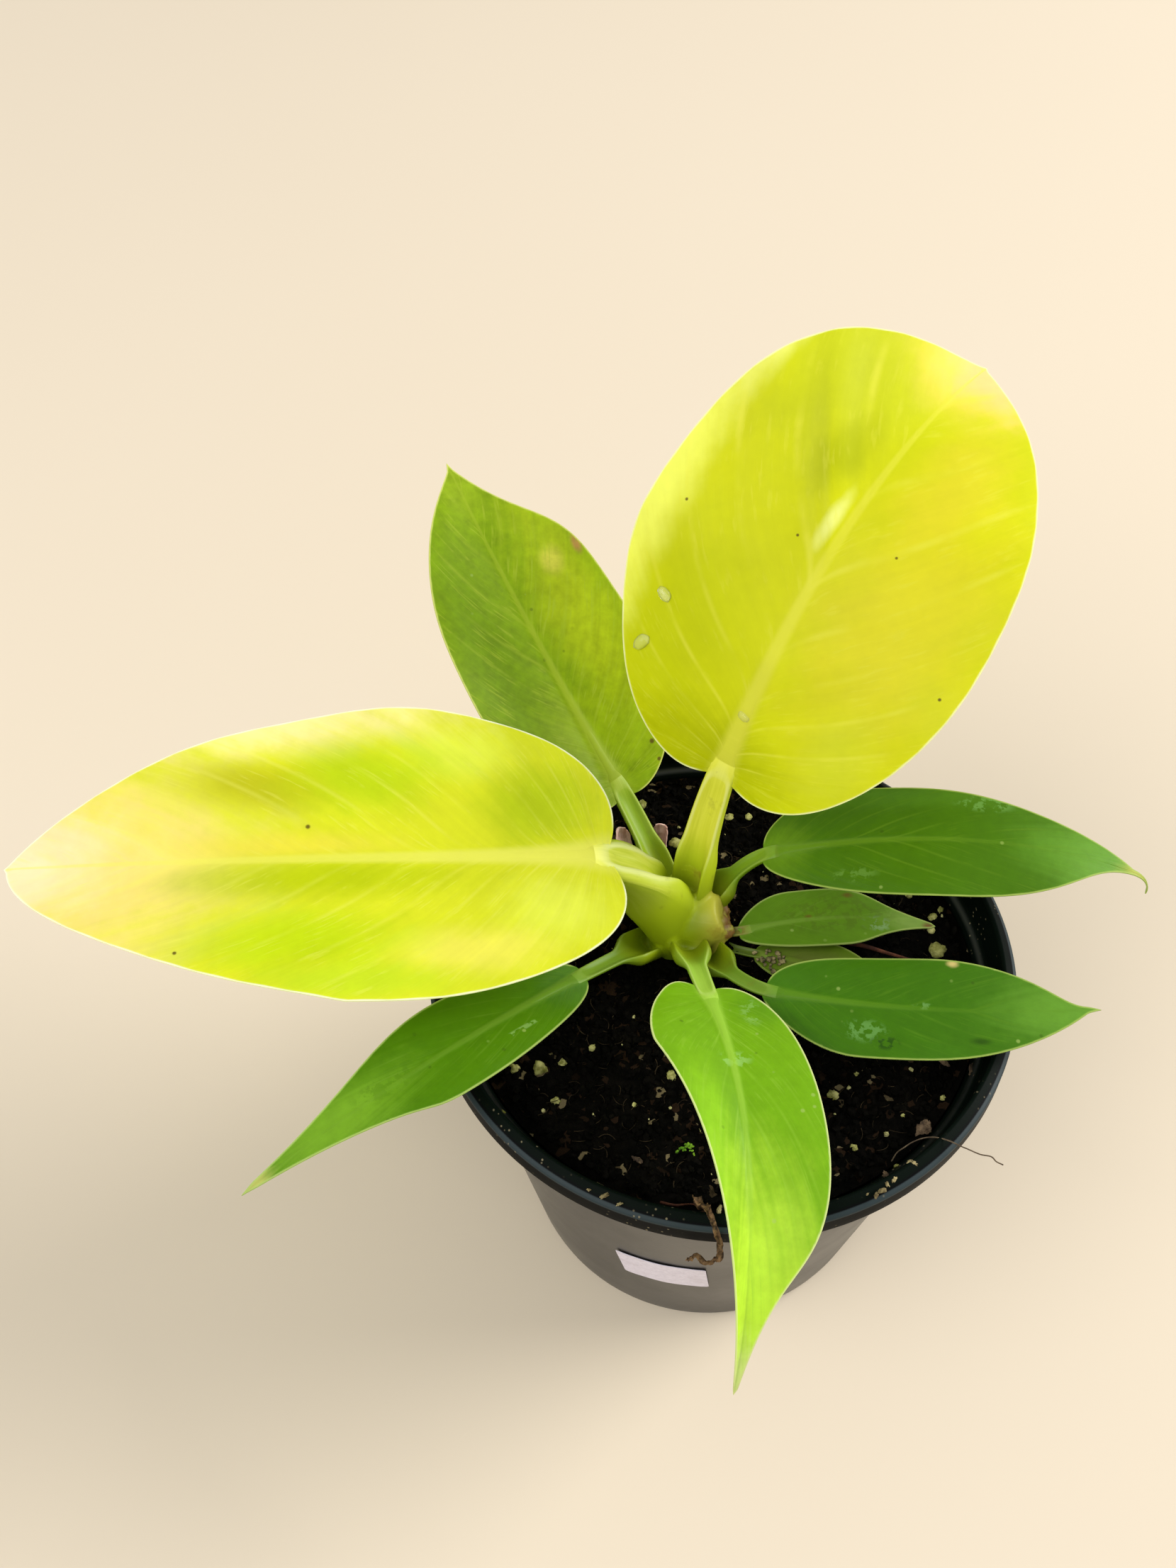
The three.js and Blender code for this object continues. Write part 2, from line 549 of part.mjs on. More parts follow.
// Dried sheath: a curled papery strip standing in the soil
function makeSheath(spec, extra = 0) {
  const lean = new THREE.Vector3(...spec.lean).normalize();
  const side = new THREE.Vector3(Math.cos(spec.turn * DEG), Math.sin(spec.turn * DEG), 0);
  const front = new THREE.Vector3().crossVectors(side, lean).normalize();
  const rings = [];
  for (let i = 0; i <= SHEATH_STEPS; i++) {
    const t = i / SHEATH_STEPS;
    const rise = (t - 0.45) * (spec.length + 4 * extra);
    const centre = new THREE.Vector3(...spec.at).addScaledVector(lean, rise);
    const width = spec.width / 2 * (1 - 0.3 * t) + extra;
    const curl = 0.9 + 0.5 * t;
    const back = SHEATH_SECTION.map(([x, y]) => [x * width, y * curl - extra]);
    const face = SHEATH_SECTION.map(([x, y]) => [x * width, y * curl + SHEATH_THICK + extra]);
    const section = [...face, ...back.reverse()];
    rings.push(layOut(section, centre, side, front));
  }
  return solid(loft(rings));
}

// Dried scrap: a thin strip that lies on the soil, over the rim and down outside
function makeScrap() {
  const path = new THREE.CatmullRomCurve3(SCRAP_PATH.map((p) => new THREE.Vector3(...p)));
  const rimMiddle = (RIM_RADIUS + RIM_INNER) / 2;
  const rings = [];
  for (let i = 0; i <= SCRAP.steps; i++) {
    const t = i / SCRAP.steps;
    const centre = path.getPoint(t);
    const forward = path.getTangent(t);
    const out = new THREE.Vector3(centre.x, centre.y, 0).setLength(rimMiddle);
    const away = centre.clone().sub(out).setZ(Math.max(0, centre.z - SCRAP.seat));
    away.addScaledVector(forward, -away.dot(forward)).normalize();
    const across = new THREE.Vector3().crossVectors(forward, away);
    const span = t * (SCRAP.width.length - 1);
    const stretch = Math.min(Math.floor(span), SCRAP.width.length - 2);
    const half = THREE.MathUtils.lerp(SCRAP.width[stretch], SCRAP.width[stretch + 1], span - stretch) / 2;
    const corners = [[-half, 0], [-half, SCRAP.thick], [half, SCRAP.thick], [half, 0]];
    rings.push(layOut(corners, centre, across, away));
  }
  return solid(loft(rings));
}

// Sticker: a thin curved sheet just off the tapered wall
function makeLabel() {
  const spread = LABEL.width / outerRadius((LABEL.low + LABEL.high) / 2);
  const cornerShare = Math.cos(Math.PI / POT_SIDES);
  const rings = [];
  for (let i = 0; i <= LABEL.steps; i++) {
    const angle = LABEL.middle * DEG + spread * (i / LABEL.steps - 0.5);
    const spot = (z, out) => {
      const radius = outerRadius(z) / cornerShare + CLEARANCE / 2 + out;
      return new THREE.Vector3(radius * Math.cos(angle), radius * Math.sin(angle), z);
    };
    rings.push([
      spot(LABEL.low, 0), spot(LABEL.high, 0), spot(LABEL.high, LABEL.thick), spot(LABEL.low, LABEL.thick),
    ]);
  }
  return solid(loft(rings));
}

// Assembly
const plant = new THREE.Group();

function addPiece(name, body, color, roughness) {
  const material = new THREE.MeshStandardMaterial({ color, roughness, metalness: 0 });
  const mesh = new THREE.Mesh(geometryOf(body), material);
  mesh.name = name;
  plant.add(mesh);
}

const stemRoom = makeStem(CLEARANCE);
let stemHole = stemRoom;
const petioleRooms = [];
for (const leaf of LEAVES) {
  const rib = midrib(leaf);
  let body = makeBlade(leaf, rib).add(makePetiole(leaf, rib)).subtract(stemRoom);
  for (const earlier of petioleRooms) body = body.subtract(earlier);
  addPiece(leaf.name, largestPiece(body), leaf.color, 0.38);
  const room = makePetiole(leaf, rib, CLEARANCE);
  petioleRooms.push(room);
  stemHole = stemHole.add(room);
}
addPiece('stem', makeStem(), 0x9aa63a, 0.5);

for (const spec of SHEATHS) {
  let body = makeSheath(spec);
  for (const room of petioleRooms) body = body.subtract(room);
  addPiece(spec.name, largestPiece(body), 0x9d7a72, 0.8);
  stemHole = stemHole.add(makeSheath(spec, 2 * CLEARANCE));
}
addPiece(SCRAP.name, makeScrap(), 0x6b5038, 0.85);
addPiece('soil', makeSoil(stemHole), 0x17120e, 0.95);
addPiece('pot', makePot(), 0x1d2021, 0.35);
addPiece(LABEL.name, makeLabel(), 0xe6e2ec, 0.6);

export default plant;
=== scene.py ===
import math
from types import SimpleNamespace

import bmesh
import bpy
import numpy as np
from mathutils import Matrix, Vector, noise


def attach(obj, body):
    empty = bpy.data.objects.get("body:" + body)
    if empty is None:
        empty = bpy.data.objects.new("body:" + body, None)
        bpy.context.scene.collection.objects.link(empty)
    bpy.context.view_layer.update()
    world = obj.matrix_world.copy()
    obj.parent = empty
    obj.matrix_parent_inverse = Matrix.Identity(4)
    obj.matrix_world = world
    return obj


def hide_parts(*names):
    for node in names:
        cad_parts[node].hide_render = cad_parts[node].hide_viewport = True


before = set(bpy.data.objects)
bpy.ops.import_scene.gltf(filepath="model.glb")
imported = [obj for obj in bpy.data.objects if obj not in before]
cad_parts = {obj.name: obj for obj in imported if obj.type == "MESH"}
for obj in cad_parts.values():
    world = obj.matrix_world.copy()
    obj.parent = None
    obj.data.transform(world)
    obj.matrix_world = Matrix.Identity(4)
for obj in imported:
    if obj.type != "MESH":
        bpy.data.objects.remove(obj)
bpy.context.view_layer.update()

MM = 0.001
SEED = 11
# Vector noise takes its offsets from the clock unless a seed is set
noise.seed_set(SEED)
FULL_TURN = 6.28

# Photograph's camera, in millimetres, pixels and radians, fitted to the pot's outline
PHOTO_HEIGHT = 2212
FOCAL_PIXELS = 2100
CAMERA_PLACE = (-29.12, -182.65, 376.74)
CAMERA_PITCH = math.radians(50.32)
CAMERA_ROLL = -0.012
SENSOR = 36

# Pot, with the CAD model's sizes
POT_HEIGHT = 99
RIM_RADIUS = 65
RIM_BAND = 7.8
RIM_INNER = 60.6
NECK_RADIUS = 59.7
BASE_RADIUS = 45.2
NECK_HEIGHT = POT_HEIGHT - RIM_BAND
WALL = 1.2
FLOOR = 1.6
POT_SIDES = 192
DRAIN_COUNT = 8
DRAIN_RADIUS = 4
DRAIN_CIRCLE = 33

# Soil, with the CAD model's height
SOIL_LEVEL = 89.6
SOIL_EDGE_DROP = 0.6
SOIL_HEAP = 2.2
SOIL_HEAP_SPREAD = 500
SOIL_RINGS = 80
SOIL_SIDES = 220
SOIL_GAP = 0.45
STEM_PLACE = (-8, 12)

# Leaves
BLADE_THICK = 0.6
MARGIN_THICK = 0.3
VEIN_START = 3.2
VEIN_SWEEP = 1.8
VEIN_HUG = 0.2
CUSP = 0.7
CREASE = 1.6
MIDRIB_STEPS = 240
MIDRIB_SPARE = 1.02
PLAIN_BEND = 1.3
WAVE_PHASE = {"left": 0.6, "right": 2.4}
PETIOLE_SEAT = 2.5
SHEATH_FULL = 0.42
SHEATH_END = 0.6
STALK_STEPS = 36
TAIL_RINGS = 10
TAIL_SHARE = 0.22
BLADE_ROWS = 120
BLADE_HALF_COLUMNS = 26
ROWS_LENGTH = 109
LARGE_QUILT = 0.14
GREEN_QUILT = 0.045
LARGE_RIB = 0.8
GREEN_RIB = 0.5
PLEAT_HEIGHT = 1.5
PLEAT_START = 52
PLEAT_LEAN = 1.35
PLEAT_REACH = (3.5, 9.0)


# Shader and geometry helpers
def tone(red, green, blue):
    """A colour given from 0 to 255 as it looks, in the linear numbers that shaders use."""
    linear = [((c / 255 + 0.055) / 1.055) ** 2.4 if c > 10 else c / 255 / 12.92 for c in (red, green, blue)]
    return (*linear, 1)


class Nodes:
    """A node tree whose nodes are written as short expressions."""

    def node(self, kind, inputs=None, **settings):
        node = self.tree.nodes.new(kind)
        for key, value in settings.items():
            setattr(node, key, value)
        for key, value in (inputs or {}).items():
            if isinstance(value, bpy.types.NodeSocket):
                self.tree.links.new(value, node.inputs[key])
            else:
                node.inputs[key].default_value = value
        return node

    def math(self, operation, a, b=0.0, c=0.0):
        return self.node("ShaderNodeMath", {0: a, 1: b, 2: c}, operation=operation).outputs[0]

    def times(self, a, b):
        return self.math("MULTIPLY", a, b)

    def plus(self, a, b):
        return self.math("ADD", a, b)

    def minus(self, a, b):
        return self.math("SUBTRACT", a, b)

    def scaled(self, value, factor, start):
        """The value times the factor, plus the start."""
        return self.math("MULTIPLY_ADD", value, factor, start)

    def joined(self, x=0.0, y=0.0, z=0.0):
        return self.node("ShaderNodeCombineXYZ", {0: x, 1: y, 2: z}).outputs[0]

    def parts(self, vector):
        node = self.node("ShaderNodeSeparateXYZ", {0: vector})
        return node.outputs[0], node.outputs[1], node.outputs[2]


class Shade(Nodes):
    """One material."""

    def __init__(self, name):
        self.material = bpy.data.materials.new(name)
        self.material.use_nodes = True
        self.tree = self.material.node_tree
        self.tree.nodes.clear()

    def vector(self, operation, a, b=(0, 0, 0)):
        node = self.node("ShaderNodeVectorMath", {0: a, 1: b}, operation=operation)
        return node.outputs["Value" if operation == "LENGTH" else "Vector"]

    def smooth(self, value, low, high, top=1.0):
        """From 0 at low to top at high, with soft ends."""
        ends = {"Value": value, "From Min": low, "From Max": high, "To Max": top}
        return self.node("ShaderNodeMapRange", ends, interpolation_type="SMOOTHSTEP").outputs[0]

    def mix(self, share, a, b, blend="MIX"):
        node = self.node("ShaderNodeMix", {0: share, 6: a, 7: b}, data_type="RGBA", blend_type=blend)
        return node.outputs[2]

    def noise(self, vector, scale, detail=3.0, rough=0.5):
        inputs = {"Vector": vector, "Scale": scale, "Detail": detail, "Roughness": rough}
        return self.node("ShaderNodeTexNoise", inputs).outputs[0]

    def cells(self, vector, scale, feature="F1"):
        return self.node("ShaderNodeTexVoronoi", {"Vector": vector, "Scale": scale}, feature=feature)

    def object_place(self):
        return self.node("ShaderNodeTexCoord", {}).outputs["Object"]

    def attribute(self, name):
        return self.node("ShaderNodeAttribute", {}, attribute_name=name)

    def bump(self, height, depth, strength=1.0, normal=None):
        """Relief of the given depth in millimetres."""
        inputs = {"Height": height, "Distance": depth * MM, "Strength": strength}
        if normal is not None:
            inputs["Normal"] = normal
        return self.node("ShaderNodeBump", inputs).outputs[0]

    def skin(self, color, roughness, normal=None, shine=0.5):
        """The main shader; values that are the same everywhere are set on its own sockets."""
        inputs = {"Base Color": color, "Roughness": roughness, "Specular IOR Level": shine}
        if normal is not None:
            inputs["Normal"] = normal
        return self.node("ShaderNodeBsdfPrincipled", inputs).outputs[0]

    def finish(self, shader):
        self.node("ShaderNodeOutputMaterial", {"Surface": shader})
        return self.material

    def finish_thin(self, shader, glow, share):
        """A thin sheet that lets part of the light through."""
        through = self.node("ShaderNodeBsdfTranslucent", {"Color": glow}).outputs[0]
        mixed = self.node("ShaderNodeMixShader", {0: share, 1: shader, 2: through}).outputs[0]
        return self.finish(mixed)


class Flow(Nodes):
    """One geometry tree with named inputs for its sizes."""

    def __init__(self, name):
        self.tree = bpy.data.node_groups.new(name, "GeometryNodeTree")
        self.tree.is_modifier = True
        for way in ("INPUT", "OUTPUT"):
            self.tree.interface.new_socket("Geometry", in_out=way, socket_type="NodeSocketGeometry")
        self.group = self.tree.nodes.new("NodeGroupInput")
        self.start = self.group.outputs[0]

    def size(self, name, kind="Float"):
        self.tree.interface.new_socket(name, in_out="INPUT", socket_type="NodeSocket" + kind)
        return self.group.outputs[name]

    def copies(self, points, thing, **turns):
        """One copy of a thing at each point."""
        inputs = {"Points": points.outputs[0], "Instance": thing.outputs[0], **turns}
        return self.node("GeometryNodeInstanceOnPoints", inputs)

    def scattered(self, density, seed):
        """Points scattered over the start mesh."""
        inputs = {"Mesh": self.start, "Density": density, "Seed": seed}
        return self.node("GeometryNodeDistributePointsOnFaces", inputs)

    def random(self, low, high, seed, vector=False):
        kind = "FLOAT_VECTOR" if vector else "FLOAT"
        first = 0 if vector else 2
        ends = {first: low, first + 1: high, "Seed": seed}
        node = self.node("FunctionNodeRandomValue", ends, data_type=kind)
        return node.outputs[0 if vector else 1]

    def finish(self, geometry, material):
        real = self.node("GeometryNodeRealizeInstances", {0: geometry}).outputs[0]
        painted = self.node("GeometryNodeSetMaterial", {"Geometry": real, "Material": material})
        self.node("NodeGroupOutput", {0: painted.outputs[0]})
        return self.tree


def add_object(name, mesh):
    piece = bpy.data.objects.new(name, mesh)
    bpy.context.scene.collection.objects.link(piece)
    return piece


def make_mesh(name, points, faces, materials, smooth_angle=180):
    """A mesh piece at the origin, from points in millimetres."""
    mesh = bpy.data.meshes.new(name)
    mesh.from_pydata((np.asarray(points) * MM).tolist(), [], [list(map(int, f)) for f in faces])
    for material in materials:
        mesh.materials.append(material)
    mesh.shade_smooth()
    if smooth_angle < 180:
        mesh.set_sharp_from_angle(angle=math.radians(smooth_angle))
    return add_object(name, mesh)


def set_attribute(piece, name, values):
    attribute = piece.data.attributes.new(name, "FLOAT_VECTOR", "POINT")
    attribute.data.foreach_set("vector", np.asarray(values, np.float32).ravel())


def take_result(piece):
    """Makes what a piece's modifiers give its own plain mesh."""
    graph = bpy.context.evaluated_depsgraph_get()
    mesh = bpy.data.meshes.new_from_object(piece.evaluated_get(graph))
    piece.modifiers.clear()
    mesh.name = piece.name
    piece.data = mesh
    return piece


def grow(piece, tree, sizes):
    """Turns a start object into the plain mesh that a geometry tree makes of it."""
    modifier = piece.modifiers.new("Grow", "NODES")
    modifier.node_group = tree
    for item in tree.interface.items_tree:
        if item.in_out == "INPUT" and item.name in sizes:
            modifier[item.identifier] = sizes[item.name]
    return take_result(piece)


def settle(piece, slot, *nodes):
    """Fixes a finished piece to the one body and hides any CAD parts that it stands for."""
    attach(piece, "root")
    if nodes:
        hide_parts(*nodes)
    return piece


def smoothstep(low, high, value):
    share = np.clip((value - low) / (high - low), 0, 1)
    return share * share * (3 - 2 * share)


def unit(vector):
    vector = np.asarray(vector, float)
    return vector / np.linalg.norm(vector, axis=-1, keepdims=True)


def bezier(a, b, c, d, t):
    t = np.asarray(t)[:, None]
    a, b, c, d = (np.asarray(p, float) for p in (a, b, c, d))
    return (1 - t) ** 3 * a + 3 * (1 - t) ** 2 * t * b + 3 * (1 - t) * t ** 2 * c + t ** 3 * d


def circle(sides):
    """Points of a flat unit circle."""
    turns = np.arange(sides) * 2 * math.pi / sides
    return np.stack([np.cos(turns), np.sin(turns), 0 * turns], 1)


def curve_through(points, per_span, closed=False):
    """A smooth curve through points, with per_span steps between each two."""
    p = np.asarray(points, float)
    if closed:
        p = np.vstack([p[-1], p, p[:2]])
    else:
        p = np.vstack([2 * p[0] - p[1], p, 2 * p[-1] - p[-2]])
    t = (np.arange(per_span) / per_span)[:, None]
    spans = []
    for a, b, c, d in zip(p[:-3], p[1:-2], p[2:-1], p[3:]):
        spans.append(0.5 * (2 * b + (c - a) * t + (2 * a - 5 * b + 4 * c - d) * t ** 2
                            + (3 * b - 3 * c + d - a) * t ** 3))
    path = np.vstack(spans)
    return path if closed else np.vstack([path, p[-2]])


def loft(rings):
    """Points and faces of a closed skin through rings of equal size."""
    count, n = len(rings), len(rings[0])
    faces = []
    for i in range(count - 1):
        for k in range(n):
            a, b = i * n + k, i * n + (k + 1) % n
            faces.append((a, b, b + n, a + n))
    faces.append(tuple(reversed(range(n))))
    faces.append(tuple(range((count - 1) * n, count * n)))
    return np.vstack(rings), faces


def tube(path, radii, sides=8):
    """Points and faces of a round strand along a path."""
    path = np.asarray(path, float)
    ahead = unit(np.gradient(path, axis=0))
    side = unit(np.cross(ahead, (0.3, 0.2, 1)))
    top = np.cross(side, ahead)
    flat = circle(sides)
    rings = []
    for place, a, b, radius in zip(path, side, top, np.broadcast_to(radii, len(path))):
        rings.append(place + radius * (flat[:, :1] * a - flat[:, 1:2] * b))
    return loft(rings)


def join_skins(skins):
    points, faces, start = [], [], 0
    for skin_points, skin_faces in skins:
        points.append(skin_points)
        faces += [tuple(k + start for k in face) for face in skin_faces]
        start += len(skin_points)
    return np.vstack(points), faces


# Leaves: the same values as in the part's source. All but the hidden one were fitted to
# outlines marked on the photograph and then rounded.
def leaf(name, **sizes):
    plain = {"drip_curl": 0, "bend": PLAIN_BEND, "fold_tip": sizes["fold"]}
    return SimpleNamespace(name=name, **{**plain, **sizes})


def half(width, widest, lobe, parallel, tip):
    return SimpleNamespace(width=width, widest=widest, lobe=lobe, parallel=parallel, tip=tip)


def stalk(start, along, reach, arrive, width, keel, facing=None, deep=1.0, shut=0.0):
    return SimpleNamespace(start=start, along=along, reach=reach, arrive=arrive, width=width, keel=keel,
                           facing=facing, deep=deep, shut=shut)


LEAVES = [
    leaf("leaf_large_back", length=109, drip=0.6, base=(0, 24.7, 130.6), heading=48, sweep=0, rise=63.5,
         droop=68, roll=5.5, twist=16.5, fold=(6.5, 6), wave=0.9, waves=3,
         left=half(39, 44, (14, 19.5), (19, 54), (8, 9.5)), right=half(39, 42, (12, 16), (28, 34), (5, 22.5)),
         petiole=stalk((-7, 11.5, 92), (0.05, 0.15, 1), 16, 15, (4.9, 4.5, 3.1), 2.4,
                       facing=(-0.8, -0.5, 0.3))),
    leaf("leaf_large_left", length=125, drip=0.6, base=(-25.7, 9.1, 121.3), heading=188, sweep=-9, rise=10.3,
         droop=15.5, roll=-6, twist=0, fold=(9.3, 9.8), wave=0.9, waves=2.5,
         left=half(36, 54, (11, 17.5), (45, 1), (4, 18)),
         right=half(35, 42.5, (9.5, 14.5), (37, 46.5), (7.5, 10.5)),
         petiole=stalk((-7, 12.5, 92), (-0.2, 0, 0.98), 15, 10, (5.8, 6.2, 4.6), 2.3,
                       facing=(0.3, 0.8, 0.6), deep=2.6, shut=0.3)),
    leaf("leaf_back_left", length=84.3, drip=2, base=(-21.8, 37.2, 110), heading=132, sweep=-15.5, rise=43,
         droop=20, roll=0, twist=0.5, fold=(9.3, 9.3), wave=0.6, waves=2.5,
         left=half(22.6, 32, (7, 2), (32, 32), (6.5, 5)),
         right=half(23, 28, (7.5, 1), (31, 42), (23.5, 12.5)),
         petiole=stalk((-9, 15, 92), (-0.3, 0.85, 0.45), 9, 9, (3.6, 2.9, 2.5), 2)),
    leaf("leaf_right_upper", length=80.5, drip=9, drip_curl=75, base=(10.5, 17.9, 109.8), heading=-8,
         sweep=-1.5, rise=24.5, droop=43.5, roll=3.5, twist=1, fold=(-2.7, -7.4), wave=0.4, waves=2,
         left=half(15, 21, (3, 5.5), (16.5, 31.5), (2, 2)),
         right=half(13.6, 36, (5, 5.5), (18.5, 32), (13, 1)),
         petiole=stalk((-4.5, 12.5, 93), (0.6, 0.3, 0.75), 7, 7, (4.2, 2.1, 1.8), 1.5)),
    leaf("leaf_right_lower", length=67.8, drip=3, drip_curl=15, base=(8.5, -13, 101.9), heading=-16.3,
         sweep=20, rise=5.7, droop=7.6, roll=6, twist=1.5, fold=(3.8, 1.4), wave=0.4, waves=2,
         left=half(11.4, 34.5, (1.5, 9), (17.5, 23.5), (6.5, 0.5)),
         right=half(12.2, 20.5, (3.5, 1), (11.5, 20), (14, 8.5)),
         petiole=stalk((-5.5, 8.5, 90.5), (0.45, -0.8, 0.4), 8, 7, (4, 1.8, 1.5), 1.4)),
    leaf("leaf_front", length=91.3, drip=2.5, bend=1.7, base=(-4.3, -15.5, 105), heading=-77.3, sweep=-26,
         rise=21.3, droop=105, roll=-4.8, twist=-11.2, fold=(5, 10), fold_tip=(19.6, 71.3), wave=0.3, waves=2,
         left=half(16, 37.5, (5.5, 6.5), (27.5, 31), (34.5, 2.5)),
         right=half(18, 20.5, (16, 7.5), (7, 3), (38.5, 6)),
         petiole=stalk((-7.5, 8, 91), (0.05, -0.6, 0.8), 8, 7, (4.4, 2.4, 2), 1.7)),
    leaf("leaf_left_lower", length=81.8, drip=3, drip_curl=10, base=(-30.8, -9.1, 102.8), heading=-139.3,
         sweep=-4.4, rise=17, droop=29, roll=-1, twist=-0.7, fold=(6.4, 6.9), wave=0.4, waves=2,
         left=half(10.4, 38.5, (1, 8.5), (11.5, 12), (40, 6)),
         right=half(10.5, 34, (4, 6), (15, 17), (25.5, 3)),
         petiole=stalk((-11, 9, 90), (-0.7, -0.5, 0.5), 8, 8, (4.4, 2, 1.7), 1.5)),
    leaf("leaf_small_right", length=44.5, drip=1, base=(5, 6.9, 95), heading=12.5, sweep=-19, rise=4.5,
         droop=16, roll=0, twist=0, fold=(7.5, 8), wave=0.3, waves=2,
         left=half(8, 13, (2, 1), (7.5, 22.5), (17, 3)), right=half(8, 19, (3.5, 5), (4, 11.5), (16.5, 4)),
         petiole=stalk((-4, 9.5, 91.8), (0.9, -0.2, 0.35), 3, 3, (1.6, 1.3, 1.2), 1.1)),
    leaf("leaf_small_hidden", length=33, drip=1, base=(8.5, 2.5, 92.5), heading=-14, sweep=-8, rise=4,
         droop=8, roll=0, twist=0, fold=(6, 6), wave=0.2, waves=2,
         left=half(6.6, 12, (2, 2), (7, 10), (9, 3)), right=half(6.6, 12, (2, 2), (7, 10), (9, 3)),
         petiole=stalk((-3.5, 7.5, 90.2), (0.9, -0.3, 0.2), 4, 4, (1.5, 1.2, 1.1), 1)),
]


# Blade colours. A patch is a soft spot of colour: along and across the leaf, its
# reach both ways, its colour and how strongly it covers.
def patch(along, across, reach, color, cover=1.0):
    return SimpleNamespace(along=along, across=across, reach=reach, color=tone(*color), cover=cover)


PLAIN_LOOK = {
    "streaks": 0.14, "gloss": 0.42, "mottle": 1.0, "vein_paint": 0.42, "rib_paint": 0.12, "threads": 0.25,
    "specks": (), "scuffs": (),
}


def look(body, rib, margin, stalk_low, stalk_high, **values):
    colors = {"body": body, "rib": rib, "margin": margin, "stalk_low": stalk_low, "stalk_high": stalk_high}
    painted = {name: tone(*color) for name, color in colors.items()}
    return SimpleNamespace(**{**PLAIN_LOOK, **values, **painted})


